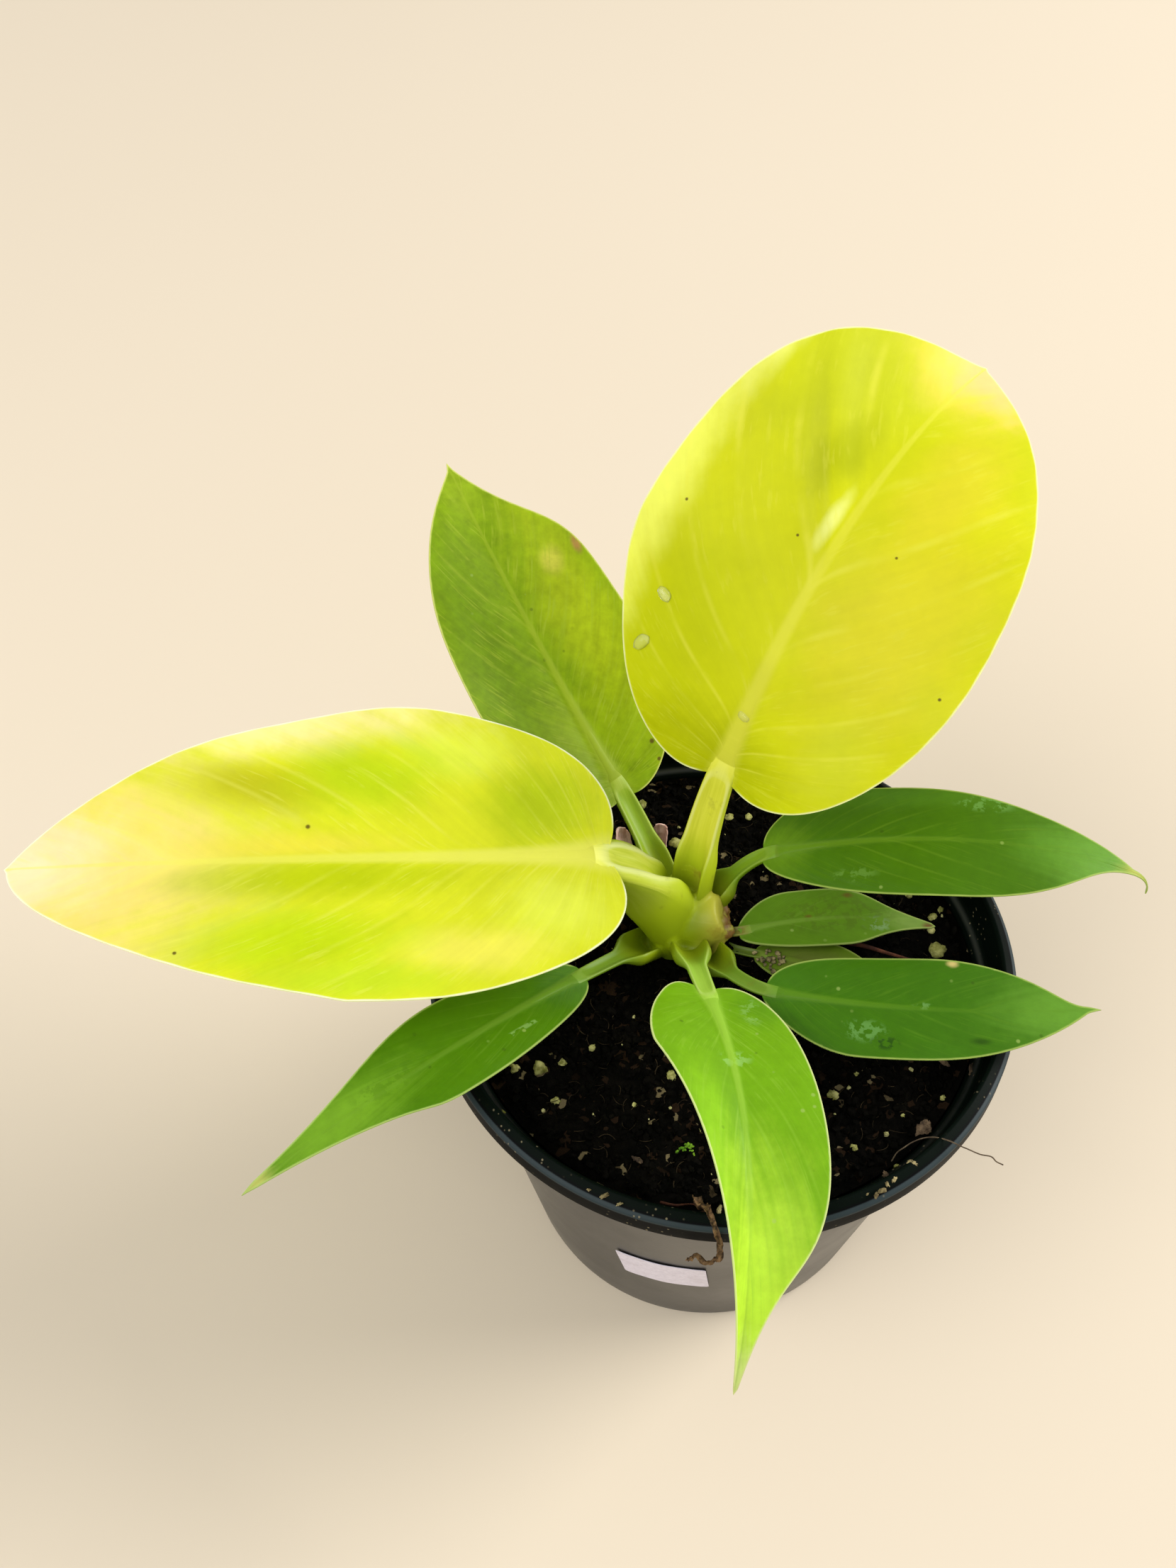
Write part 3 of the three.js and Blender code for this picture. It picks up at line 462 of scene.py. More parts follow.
BROWN_SPECK = (88, 62, 20)
LOOKS = {
    "leaf_large_back": look(
        body=(223, 226, 20), rib=(240, 238, 84), margin=(255, 254, 210), stalk_low=(176, 190, 22),
        stalk_high=(212, 212, 52), veins=10, mottle=0.3, vein_paint=0.6, rib_paint=0.45,
        patches=[
            patch(48, -20, (52, 26), (234, 226, 44), 0.8),
            patch(84, 18, (32, 26), (212, 218, 40), 0.85),
            patch(24, 22, (34, 20), (211, 217, 4), 0.8),
            patch(2, 4, (15, 26), (190, 196, 0), 0.75),
            # Painted light: the bright band along the far left margin, where light shines through the leaf.
            patch(44, 38, (52, 9), (252, 255, 120), 0.95),
            patch(16, -22, (16, 12), (222, 226, 60), 0.6),
            patch(78, -14, (24, 12), (236, 226, 56), 0.7),
            patch(104, 1, (17, 20), (250, 232, 106), 0.9),
            patch(108, -3, (14, 14), (255, 226, 158), 0.95),
            # Painted shade and painted highlight of the pleat: darker olive on its far slope, a pale streak
            # on its crest.
            patch(71, 9, (13, 7), (196, 203, 10), 0.85),
            patch(58, 3.4, (9, 2.2), (250, 253, 160), 0.85),
            # Painted highlight: a whitish band along the left margin near the tip.
            patch(82, 34, (20, 5), (246, 248, 140), 0.8),
        ],
        specks=[(37.1, -34.8, 0.35), (47.3, 31.4, 0.3), (52, 7.8, 0.3), (58, -12.1, 0.3)]),
    "leaf_large_left": look(
        body=(228, 232, 44), rib=(243, 242, 112), margin=(255, 255, 238), stalk_low=(166, 182, 18),
        stalk_high=(196, 208, 52), veins=14, streaks=0.18, vein_paint=0.28, mottle=0.3, rib_paint=0.45,
        patches=[
            patch(110, 2, (50, 36), (250, 233, 148), 0.95),
            # Painted highlight: the cream band along the far edge.
            patch(74, -34, (58, 13), (255, 246, 178), 1.0),
            patch(124, 0, (26, 20), (255, 242, 206), 0.95),
            patch(12, 14, (16, 13), (240, 246, 92), 0.8),
            patch(30, 24, (22, 8), (248, 240, 104), 0.8),
            patch(30, -24, (18, 9), (236, 246, 92), 0.7),
            patch(66, -3, (30, 5), (242, 230, 80), 0.7),
            patch(72, -17, (27, 8), (206, 206, 28), 0.9),
            patch(50, -19, (24, 12), (204, 225, 20), 0.85),
            patch(60, 5, (42, 8), (200, 214, 2), 0.85),
            patch(64, 21, (30, 12), (205, 227, 12), 0.85),
            patch(52, 31, (26, 6), (210, 230, 40), 0.85),
            patch(14, -12, (18, 14), (188, 208, 16), 0.75),
        ],
        specks=[(62.8, -7.5, 0.5), (86.6, 23, 0.4)]),
    "leaf_back_left": look(
        body=(132, 163, 12), rib=(168, 188, 48), margin=(218, 222, 120), stalk_low=(110, 140, 6),
        stalk_high=(138, 172, 16), veins=12, streaks=0.4, mottle=2.4, threads=0.6, rib_paint=0.4,
        patches=[
            patch(40, -13, (46, 14), (180, 196, 28), 0.85),
            patch(12, 0, (22, 22), (150, 174, 8), 0.7),
            patch(44, 13, (38, 12), (118, 152, 4), 0.8),
            patch(80, 0, (14, 9), (158, 184, 34), 0.8),
            patch(54.5, -12, (5, 4), (216, 206, 88), 0.6),
            patch(55.4, -19, (3.4, 1.5), (184, 128, 84), 0.8),
        ],
        specks=[(5.3, -12.7, 0.6), (0.7, -12.1, 0.5)]),
    "leaf_right_upper": look(
        body=(75, 120, 4), rib=(110, 150, 30), margin=(176, 196, 96), stalk_low=(98, 130, 6),
        stalk_high=(124, 156, 24), veins=11,
        patches=[
            patch(2, 0, (12, 12), (112, 152, 24), 0.8),
            patch(34, 12, (34, 5), (96, 146, 34), 0.5),
            patch(74, 0, (24, 14), (114, 168, 48), 0.75),
            patch(84, 0, (9, 5), (206, 204, 90), 0.9),
            patch(89.5, 0, (1.6, 2), (128, 84, 40), 0.9),
            patch(0.8, -0.6, (2.2, 1.4), (200, 170, 110), 0.8),
        ],
        scuffs=[patch(48, 10, (7, 2.4), (118, 168, 76), 0.7), patch(20, -8, (6, 2), (112, 156, 60), 0.6)]),
    "leaf_right_lower": look(
        body=(66, 117, 6), rib=(98, 144, 28), margin=(168, 190, 92), stalk_low=(96, 130, 20),
        stalk_high=(116, 148, 38), veins=10,
        patches=[
            patch(2, 0, (10, 10), (72, 124, 16), 0.8),
            patch(63, 0, (22, 12), (112, 164, 48), 0.75),
            patch(39.8, 10.4, (1.8, 1.1), (216, 196, 120), 1.0),
            patch(70.8, 0, (1.8, 2), (130, 84, 44), 0.9),
            patch(44.6, -6.9, (3, 1), (34, 66, 4), 0.6),
        ],
        scuffs=[
            patch(21.5, -6.2, (5, 3), (112, 164, 80), 0.7),
            patch(25.5, -8.6, (3.4, 1.8), (36, 74, 8), 0.8),
            patch(33, 0.6, (2.4, 1), (124, 172, 92), 0.6),
        ]),
    "leaf_front": look(
        body=(122, 175, 18), rib=(164, 208, 66), margin=(226, 232, 160), stalk_low=(126, 164, 32),
        stalk_high=(150, 186, 60), veins=11,
        patches=[
            patch(7, 9, (9, 7), (96, 150, 16), 0.7),
            patch(40, -9, (26, 8), (150, 206, 28), 0.8),
            # Painted light: the lighter lower half and paler tip of the drooping leaf.
            patch(74, 0, (42, 22), (204, 240, 66), 0.95),
            patch(90, 0, (18, 10), (226, 242, 152), 0.9),
        ],
        scuffs=[patch(21, 0.5, (2.4, 4), (168, 216, 120), 0.5), patch(8, 7, (5, 2.4), (160, 206, 110), 0.4)]),
    "leaf_left_lower": look(
        body=(80, 128, 6), rib=(116, 156, 44), margin=(182, 204, 112), stalk_low=(84, 104, 6),
        stalk_high=(116, 148, 30), veins=11,
        patches=[
            patch(2, 0, (10, 10), (102, 147, 56), 0.8),
            patch(64, 0, (26, 10), (128, 174, 40), 0.8),
            patch(82, 0, (6, 3), (206, 206, 110), 0.9),
            patch(6, 0, (12, 10), (70, 118, 34), 0.5),
        ],
        scuffs=[
            patch(21.1, 4.5, (7, 0.7), (150, 190, 104), 0.6),
            patch(50, -1, (10, 3), (62, 106, 4), 0.25),
        ]),
    "leaf_small_right": look(
        body=(98, 140, 22), rib=(128, 164, 56), margin=(166, 186, 96), stalk_low=(128, 96, 56),
        stalk_high=(132, 122, 48), veins=9, gloss=0.5, rib_paint=0.05,
        patches=[
            patch(40, 0, (10, 5), (138, 168, 74), 0.8),
            patch(16, 0.8, (1.3, 0.8), (116, 84, 30), 0.8),
            patch(25.6, 5.8, (1.6, 0.9), (116, 84, 30), 0.8),
            patch(44, -0.4, (2.2, 1.4), (120, 74, 40), 0.9),
        ],
        scuffs=[patch(31.5, -1.5, (4, 2.4), (146, 180, 120), 0.7),
                patch(22, 1, (16, 6), (88, 112, 24), 0.45)]),
    "leaf_small_hidden": look(
        body=(98, 128, 22), rib=(120, 146, 46), margin=(146, 164, 74), stalk_low=(86, 106, 20),
        stalk_high=(96, 118, 28), veins=8, gloss=0.55,
        patches=[patch(14, 0, (14, 6), (128, 116, 72), 0.35)]),
}
LARGE_LEAVES = ("leaf_large_back", "leaf_large_left")
LARGE_GLOW = 0.5
GREEN_GLOW = 0.35


def spot_distance(shade, flat, spot):
    """Distance from a spot's middle, as a share of its reach."""
    offset = shade.vector("SUBTRACT", flat, (spot.along, spot.across, 0))
    scaled = shade.vector("MULTIPLY", offset, (1 / spot.reach[0], 1 / spot.reach[1], 0))
    return shade.vector("LENGTH", scaled)


def paint_patches(shade, color, flat, strands, patches):
    """Soft patches of colour over a blade, with uneven edges that run out along the veins."""
    drift = shade.scaled(shade.noise(flat, 0.11, 4, 0.65), 0.6, -0.3)
    drift = shade.plus(drift, shade.scaled(shade.noise(strands, 0.4, 2, 0.5), 0.45, -0.22))
    for spot in patches:
        distance = shade.plus(spot_distance(shade, flat, spot), drift)
        color = shade.mix(shade.smooth(distance, 1.05, 0.15, spot.cover), color, spot.color)
    return color


def paint_scuffs(shade, color, flat, spot, scuffs):
    """Worn or dirty places: the same soft patches, broken up into small flecks."""
    broken = shade.noise(spot, 520, 3, 0.6)
    for scuff in scuffs:
        inside = shade.smooth(spot_distance(shade, flat, scuff), 1.1, 0.5, scuff.cover)
        inside = shade.times(inside, shade.smooth(broken, 0.48, 0.56))
        color = shade.mix(inside, color, scuff.color)
    return color


def paint_specks(shade, color, flat, specks):
    for along, across, radius in specks:
        distance = shade.vector("LENGTH", shade.vector("SUBTRACT", flat, (along, across, 0)))
        inside = shade.smooth(distance, radius * 1.4, radius * 0.5, 0.85)
        color = shade.mix(inside, color, tone(*BROWN_SPECK))
    return color


def blade_material(spec):
    """Upper and lower face of one blade: its colours, veins, midrib and margin."""
    paint = LOOKS[spec.name]
    shade = Shade(spec.name + "_blade")
    large = spec.name in LARGE_LEAVES
    along, across, upper = shade.parts(shade.attribute("leaf_place").outputs["Vector"])
    flat = shade.joined(along, across)
    row, rib, margin = shade.parts(shade.attribute("leaf_lines").outputs["Vector"])
    spot = shade.object_place()

    phase = shade.times(row, float(paint.veins))
    strands = shade.joined(shade.times(row, paint.veins * 7.0), shade.times(across, 0.05))
    color = paint_patches(shade, paint.body, flat, strands, paint.patches)
    streak = shade.noise(strands, 1.0, 4, 0.65)
    broad = shade.noise(shade.joined(phase, shade.times(across, 0.04)), 0.9, 2)
    cloud = shade.noise(spot, 90, 4, 0.6)
    light = shade.plus(shade.times(streak, 0.3), shade.times(broad, 0.45))
    light = shade.scaled(cloud, 0.35, light)
    light = shade.scaled(light, 2 * paint.streaks, 1 - 1.1 * paint.streaks)
    light = shade.scaled(shade.noise(spot, 420, 3, 0.6), 0.26 * paint.mottle, light)
    light = shade.plus(light, -0.13 * paint.mottle)
    color = shade.node("ShaderNodeVectorMath", {0: color, "Scale": light}, operation="SCALE").outputs[0]

    wave = shade.math("ABSOLUTE", shade.minus(shade.math("FRACT", phase), 0.5))
    vein = shade.times(shade.smooth(wave, 0.1, 0.0), shade.smooth(margin, 0.5, 6))
    vein = shade.times(vein, shade.smooth(shade.noise(spot, 70, 3), 0.35, 0.7, paint.vein_paint))
    color = shade.mix(vein, color, paint.rib)
    threads = shade.joined(shade.times(row, paint.veins * 11.0), shade.times(across, 0.22))
    threads = shade.smooth(shade.noise(threads, 1.0, 2, 0.5), 0.54, 0.66)
    threads = shade.times(threads, shade.smooth(shade.noise(spot, 130, 4, 0.6), 0.42, 0.6, paint.threads))
    color = shade.mix(threads, color, paint.rib)
    if not large:
        flecks = shade.cells(spot, 420)
        chance = shade.parts(flecks.outputs["Color"])
        dot = shade.smooth(flecks.outputs["Distance"], 0.24, 0.1)
        pale_dot = shade.times(dot, shade.smooth(chance[0], 0.93, 0.96, 0.5))
        dark_dot = shade.times(dot, shade.smooth(chance[1], 0.94, 0.97, 0.4))
        color = shade.mix(pale_dot, color, tone(176, 200, 104))
        color = shade.mix(dark_dot, color, tone(52, 74, 10))
    color = paint_scuffs(shade, color, flat, spot, paint.scuffs)
    color = paint_specks(shade, color, flat, paint.specks)
    fading = shade.smooth(along, 0.85 * spec.length, 0.0, 0.84 - paint.rib_paint)
    fading = shade.plus(fading, paint.rib_paint)
    color = shade.mix(shade.times(shade.smooth(rib, 1.4, 0.4), fading), color, paint.rib)
    joint = shade.math("MAXIMUM", shade.smooth(rib, 1.1, 2.0), shade.smooth(along, 3, 9))
    edge = shade.times(shade.smooth(margin, 0.5, 0.12, 0.9), joint)
    color = shade.mix(edge, color, paint.margin)
    pale = shade.mix(0.35, color, tone(226, 234, 150) if large else tone(170, 196, 110))
    color = shade.mix(shade.smooth(upper, 0.7, 0.3), color, pale)

    grain = shade.noise(spot, 2600, 2, 0.6)
    relief = shade.bump(streak, 0.12, 0.5)
    relief = shade.bump(grain, 0.03, 0.25, relief)
    rough = shade.scaled(shade.noise(spot, 160, 3), 0.16, paint.gloss - 0.08)
    surface = shade.skin(color, rough, relief, shine=0.16)
    return shade.finish_thin(surface, color, LARGE_GLOW if large else GREEN_GLOW)


def crown_tint(shade, spot):
    """Colour of the crown and of the petiole bases: yellower high up and on the left, with painted shade low
    down at the soil.
    """
    x, _, z = shade.parts(spot)
    color = shade.mix(shade.smooth(x, -0.003, -0.016), tone(130, 146, 10), tone(154, 174, 10))
    color = shade.mix(shade.smooth(z, 0.100, 0.112), color, tone(182, 198, 26))
    # Painted shade: darker green low down, where the crown meets the soil.
    return shade.mix(shade.smooth(z, 0.098, 0.0905), color, tone(84, 104, 6))


def stalk_material(spec):
    """Grooved petiole, greener at the stem, with fine lengthwise streaks."""
    paint = LOOKS[spec.name]
    shade = Shade(spec.name + "_stalk")
    share, round_place, lip = shade.parts(shade.attribute("leaf_place").outputs["Vector"])
    spot = shade.object_place()
    color = shade.mix(shade.smooth(share, 0.05, 0.75), paint.stalk_low, paint.stalk_high)
    strands = shade.joined(shade.times(round_place, 26.0), shade.times(share, 2.5))
    streak = shade.noise(strands, 1.0, 3, 0.6)
    color = shade.mix(shade.smooth(streak, 0.35, 0.7, 0.35), color, paint.rib)
    # Painted shade: the back and right side of each petiole are darker and greener.
    outside = shade.smooth(shade.math("ABSOLUTE", shade.minus(round_place, 0.7)), 0.32, 0.24, 0.5)
    color = shade.mix(outside, color, shade.mix(0.5, paint.stalk_low, tone(120, 150, 10)))
    color = shade.mix(shade.smooth(lip, 0.95, 1.0, 0.22), color, paint.margin)
    color = shade.mix(shade.smooth(share, 0.86, 1.03, 0.85), color, paint.rib)
    color = shade.mix(shade.smooth(share, 0.62, 0.36), color, crown_tint(shade, spot))
    color = shade.mix(shade.smooth(shade.noise(spot, 260, 4), 0.62, 0.75, 0.3), color, tone(120, 112, 30))
    relief = shade.bump(streak, 0.12, 0.4)
    surface = shade.skin(color, 0.45, relief, shine=0.34)
    return shade.finish_thin(surface, color, 0.2)


class Midrib:
    """Place and directions at any length along a leaf's midrib."""

    def __init__(self, spec):
        full = MIDRIB_SPARE * (spec.length + spec.drip)
        self.along = np.linspace(0, full, MIDRIB_STEPS + 1)
        share = self.along / spec.length
        past = np.maximum(0, share - 1) * spec.length / spec.drip
        drooped = spec.droop * np.minimum(share, 1) ** spec.bend + spec.drip_curl * np.minimum(past, 1)
        lift = np.radians(spec.rise - drooped)
        turn = np.radians(spec.heading + spec.sweep * share)
        roll = np.radians(spec.roll + spec.twist * share)[:, None]
        flat = np.cos(lift)
        forward = np.stack([flat * np.cos(turn), flat * np.sin(turn), np.sin(lift)], 1)
        level = np.stack([-np.sin(turn), np.cos(turn), 0 * turn], 1)
        top = np.cross(forward, level)
        stride = full / MIDRIB_STEPS
        steps = np.cumsum((forward[1:] + forward[:-1]) * stride / 2, axis=0)
        position = np.asarray(spec.base, float) + np.vstack([np.zeros(3), steps])
        left = np.cos(roll) * level + np.sin(roll) * top
        up = np.cos(roll) * top - np.sin(roll) * level
        self.tables = (position, forward, left, up)

    def at(self, along):
        """Position, forward, left and up, straight back from the base where along is negative."""
        along = np.atleast_1d(along)
        found = []
        for table in self.tables:
            found.append(np.stack([np.interp(along, self.along, table[:, k]) for k in range(3)], -1))
        found[0] = found[0] + np.minimum(along, 0)[..., None] * self.tables[1][0]
        return found


def half_outline(spec, side):
    """The half outline by its share of length: x along the midrib, y out from it."""
    edge = getattr(spec, side)
    cusp = min(CUSP, spec.drip)
    widest = (edge.widest, edge.width)
    t = np.linspace(0, 1, 200)
    before, after = edge.parallel
    lobe = bezier((0, 0), (-edge.lobe[0], edge.lobe[1]), (edge.widest - before, edge.width), widest, t)
    narrowing = (spec.length - edge.tip[0], edge.tip[1] + cusp)
    taper = bezier(widest, (edge.widest + after, edge.width), narrowing, (spec.length, cusp), t)
    points = np.vstack([lobe, taper[1:], [spec.length + spec.drip, 0]])
    gone = np.concatenate([[0], np.cumsum(np.hypot(*np.diff(points, axis=0).T))])
    return lambda share: [np.interp(share * gone[-1], gone, points[:, k]) for k in (0, 1)]


def edge_distance(spec, side, along, across):
    """Distance of each point from one side's outline."""
    edge_x, edge_y = half_outline(spec, side)(np.linspace(0, 1, 500))
    away = np.hypot(along[..., None] - edge_x, np.abs(across)[..., None] - edge_y)
    return away.min(axis=-1)


def blade_points(spec, rib, along, across):
    """Points of the blade's middle sheet, and the directions that its upper face looks."""
    out = np.abs(across)
    side = np.where(across >= 0, 1.0, -1.0)
    share = np.clip(along / spec.length, 0, 1)
    which = (across < 0).astype(int)
    fold = np.radians(np.array(spec.fold)[which] * (1 - share) + np.array(spec.fold_tip)[which] * share)
    width = np.where(across >= 0, spec.left.width, spec.right.width)
    phase = np.where(across >= 0, WAVE_PHASE["left"], WAVE_PHASE["right"])
    wave = spec.wave * np.sin(2 * math.pi * spec.waves * along / spec.length + phase) * (out / width) ** 2
    rounded = np.sqrt(out ** 2 + CREASE ** 2)
    position, _, left, up = rib.at(along)
    rise = np.sin(fold) * (rounded - CREASE) + wave
    points = position + left * (side * out * np.cos(fold))[..., None] + up * rise[..., None]
    lean = fold * out / rounded
    normals = up * np.cos(lean)[..., None] - left * (side * np.sin(lean))[..., None]
    return points, unit(normals)


def pleat_relief(spec, along, across):
    """The fold beside the large leaf's midrib, which catches the light."""
    if spec.name != "leaf_large_back":
        return 0 * along
    away = along - (PLEAT_START + PLEAT_LEAN * across)
    near, far = PLEAT_REACH
    crest = np.exp(-(away / np.where(away > 0, far, near)) ** 2)
    return PLEAT_HEIGHT * crest * smoothstep(-1, 3, across) * smoothstep(36, 12, across)


def rib_width(spec, along):
    """Half width of the pale band along the midrib."""
    share = np.clip(along / spec.length, 0, 1)
    rib = (LARGE_RIB if spec.name in LARGE_LEAVES else GREEN_RIB) * spec.petiole.keel
    mouth = max(0, spec.petiole.width[2] - rib) * np.exp(-np.maximum(along, 0) / (0.08 * spec.length))
    return 0.25 + rib * (1 - share) ** 1.1 + mouth


def ridge_height(spec, along):
    """How far the midrib stands above the blade's upper face."""
    share = np.clip(along / spec.length, 0, 1)
    return 0.24 * rib_width(spec, along) * (1 - share) ** 0.7 * smoothstep(0, 5, along)


def blade_grid(spec, rows, half_columns):
    """Cells of one blade in rows that follow the side veins, with its base and its tip."""
    full = spec.length + spec.drip
    u = (np.arange(1, rows) / rows)[:, None]
    place = np.arange(-half_columns, half_columns + 1) / half_columns
    v = np.abs(place) ** 1.25
    start = full * u ** VEIN_START
    (left_x, left_y), (right_x, right_y) = half_outline(spec, "left")(u), half_outline(spec, "right")(u)
    edge_x, edge_y = np.where(place >= 0, left_x, right_x), np.where(place >= 0, left_y, right_y)
    swept = VEIN_HUG * (1 - np.exp(-8 * v)) + (1 - VEIN_HUG * (1 - math.exp(-8))) * v ** VEIN_SWEEP
    along = start + (edge_x - start) * swept
    across = np.sign(place) * edge_y * v
    left_margin, right_margin = (edge_distance(spec, side, along, across) for side in ("left", "right"))
    margin = np.where(place >= 0, left_margin, right_margin)
    ends = lambda first, grid, last: np.concatenate([[first], grid.ravel(), [last]])
    return SimpleNamespace(
        along=ends(0, along, full), across=ends(0, across, 0), row=ends(0, u + 0 * along, 1),
        out=ends(1, v + 0 * along, 1), margin=ends(0, margin, 0), rows=rows - 1, columns=2 * half_columns + 1)


def blade_faces(rows, columns, count):
    at = lambda i, j: 1 + i * columns + j
    faces = []
    for j in range(columns - 1):
        faces.append((0, at(0, j), at(0, j + 1)))
        for i in range(rows - 1):
            faces.append((at(i, j), at(i + 1, j), at(i + 1, j + 1), at(i, j + 1)))
        faces.append((count - 1, at(rows - 1, j + 1), at(rows - 1, j)))
    under = [tuple(count + k for k in reversed(face)) for face in faces]
    right_edge = [at(i, 0) for i in range(rows)]
    left_edge = [at(i, columns - 1) for i in reversed(range(rows))]
    rim = [0, *right_edge, count - 1, *left_edge]
    edge = [(a, count + a, count + b, b) for a, b in zip(rim, rim[1:] + rim[:1])]
    return faces + under + edge


def make_blade(spec, rib):
    """Points, faces and painting guides of one closed blade."""
    size = (spec.length / ROWS_LENGTH) ** 0.5
    grid = blade_grid(spec, rows=round(BLADE_ROWS * size), half_columns=round(BLADE_HALF_COLUMNS * size))
    points, normals = blade_points(spec, rib, grid.along, grid.across)
    band = rib_width(spec, grid.along)
    away = np.abs(grid.across) / band
    share = np.clip(grid.along / spec.length, 0, 1)
    veins = LOOKS[spec.name].veins
    quilt = np.abs(np.sin(math.pi * (grid.row * veins - 0.5))) ** 0.7 - 0.6
    depth = LARGE_QUILT if spec.name in LARGE_LEAVES else GREEN_QUILT
    quilt = depth * size * quilt * smoothstep(0.0, 0.15, grid.out) * smoothstep(1.0, 0.8, grid.out)
    ridge = ridge_height(spec, grid.along) * np.exp(-away ** 2)
    crease = -0.06 * np.exp(-((away - 1.7) / 0.5) ** 2) * smoothstep(0.6, 0.1, share)
    pleat = pleat_relief(spec, grid.along, grid.across)
    thick = MARGIN_THICK + (BLADE_THICK - MARGIN_THICK) * smoothstep(0, 3, grid.margin)
    keel = 0.75 * spec.petiole.keel * (1 - share) * np.exp(-(away / 0.9) ** 2)
    top = points + normals * (thick / 2 + quilt + ridge + crease + pleat)[:, None]
    bottom = points + normals * (quilt + pleat - thick / 2 - keel)[:, None]
    guide = lambda face: np.stack([grid.along, grid.across, face + 0 * grid.along], 1)
    lines = np.stack([grid.row, away, grid.margin], 1)
    faces = blade_faces(grid.rows, grid.columns, len(points))
    return np.vstack([top, bottom]), faces, np.vstack([guide(1), guide(0)]), np.vstack([lines, lines])


# Petiole section, seen towards the blade: two lips with a groove between, and a round back
PETIOLE_LIPS = [(1, 0.7), (0.8, 0), (0.32, 1), (-0.32, 1), (-0.8, 0), (-1, 0.7)]
PETIOLE_BACK = (215, 250, 290, 325)


def petiole_section(spec, t):
    """Outline of the petiole a share t of the way up: a clasping sheath, then a grooved stalk."""
    sheath, middle, top = spec.petiole.width
    opened = smoothstep(SHEATH_END, SHEATH_FULL, t)
    closed = max(0, t - 0.5) / 0.5
    clasp = opened * sheath / 6
    body = middle * (1 - closed) + top * closed
    width = body + (sheath - middle) * opened
    depth = 0.25 + 0.62 * body * (1 + (spec.petiole.deep - 1) * (1 - 0.5 * closed))
    ridge = 0.2 * width + 1.5 * clasp
    groove = 0.24 * width + 1.8 * clasp
    sink = 0.35 * groove * opened
    gape = 1 - spec.petiole.shut
    crest = 1 - 1.5 * smoothstep(0.8, 1, t)
    lips = []
    for across, deep in PETIOLE_LIPS:
        outer = abs(across) == 1
        drop = groove * (deep + 1.4 * spec.petiole.shut) if outer else groove * deep * crest
        lips.append((across * width * (1 if outer else gape), ridge - drop))
    turns = np.radians(PETIOLE_BACK)
    back = list(zip(width * np.cos(turns), depth * np.sin(turns) - sink))
    return curve_through(lips + back, 4, closed=True)


def stalk_rings(spec, rib):
    """Rings of one petiole, from inside the stem to under the blade, and its painting guides."""
    petiole = spec.petiole
    (joint,), _, _, (joint_up,) = rib.at(PETIOLE_SEAT)
    (base,), (ahead,), _, (leaf_up,) = rib.at(0)
    seat = joint + (0.35 - 0.12 * petiole.width[2]) * joint_up
    start = np.array(petiole.start, float)
    t = np.linspace(0, 1, STALK_STEPS + 1)
    path = bezier(start, start + petiole.reach * unit(petiole.along),
                  seat - (petiole.arrive + PETIOLE_SEAT) * ahead, seat, t)
    forward = unit(np.gradient(path, axis=0))
    inward = petiole.facing
    if inward is None:
        inward = [*unit([STEM_PLACE[0] - base[0], STEM_PLACE[1] - base[1]]), 0.6]
    rings = []
    guides = []
    for share, centre, ahead in zip(t, path, forward):
        turn = min(1, 1.2 * share)
        up = np.array(inward) * (1 - turn) + leaf_up * turn
        up = unit(up - up.dot(ahead) * ahead)
        left = np.cross(up, ahead)
        section = petiole_section(spec, share)
        rings.append(centre + section[:, :1] * left + section[:, 1:] * up)
        turns = np.arange(len(section)) / len(section)
        high = (section[:, 1] - section[:, 1].min()) / np.ptp(section[:, 1])
        guides.append(np.stack([share + 0 * turns, turns, high], 1))
    lines = [np.zeros((len(turns), 3)) for _ in rings]
    last = petiole_section(spec, 1)
    top = last[:, 1].max()
    full = spec.length + spec.drip
    for step in np.linspace(0, 1, TAIL_RINGS + 1)[1:]:
        along = PETIOLE_SEAT + TAIL_SHARE * spec.length * step
        (place,), _, (left,), (up,) = rib.at(along)
        band = rib_width(spec, along)
        flush = BLADE_THICK / 2 + ridge_height(spec, along) + 0.08 - 0.5 * smoothstep(0.6, 1, step)
        across = last[:, 0] * band / petiole.width[2]
        height = np.where(last[:, 1] > 0, last[:, 1] * flush / top, last[:, 1] * (1 - 0.9 * step))
        rings.append(place + across[:, None] * left + height[:, None] * up)
        guides.append(np.stack([along + 0 * across, across, 1 + 0 * across], 1))
        row = (along / full) ** (1 / VEIN_START)
        lines.append(np.stack([row + 0 * across, np.abs(across) / band, 9 + 0 * across], 1))
    return rings, guides, lines


def make_leaf(spec):
    """One leaf: its blade and its petiole, in one piece that stands for the CAD leaf."""
    rib = Midrib(spec)
    blade, blade_skin, blade_guide, lines = make_blade(spec, rib)
    rings, guides, stalk_lines = stalk_rings(spec, rib)
    stem_part, stem_skin = loft(rings)
    faces = blade_skin + [tuple(k + len(blade) for k in face) for face in stem_skin]
    materials = [blade_material(spec), stalk_material(spec)]
    piece = make_mesh(spec.name + "_grown", np.vstack([blade, stem_part]), faces, materials, 60)
    set_attribute(piece, "leaf_place", np.vstack([blade_guide, *guides]))
    set_attribute(piece, "leaf_lines", np.vstack([lines, *stalk_lines]))
    slots = np.zeros(len(faces), np.int32)
    stalk_faces = STALK_STEPS * len(rings[0])
    slots[len(blade_skin):len(blade_skin) + stalk_faces] = 1
    piece.data.polygons.foreach_set("material_index", slots)
    slot = "yellow_leaf" if spec.name in LARGE_LEAVES else "green_leaf"
    return settle(piece, slot, spec.name)


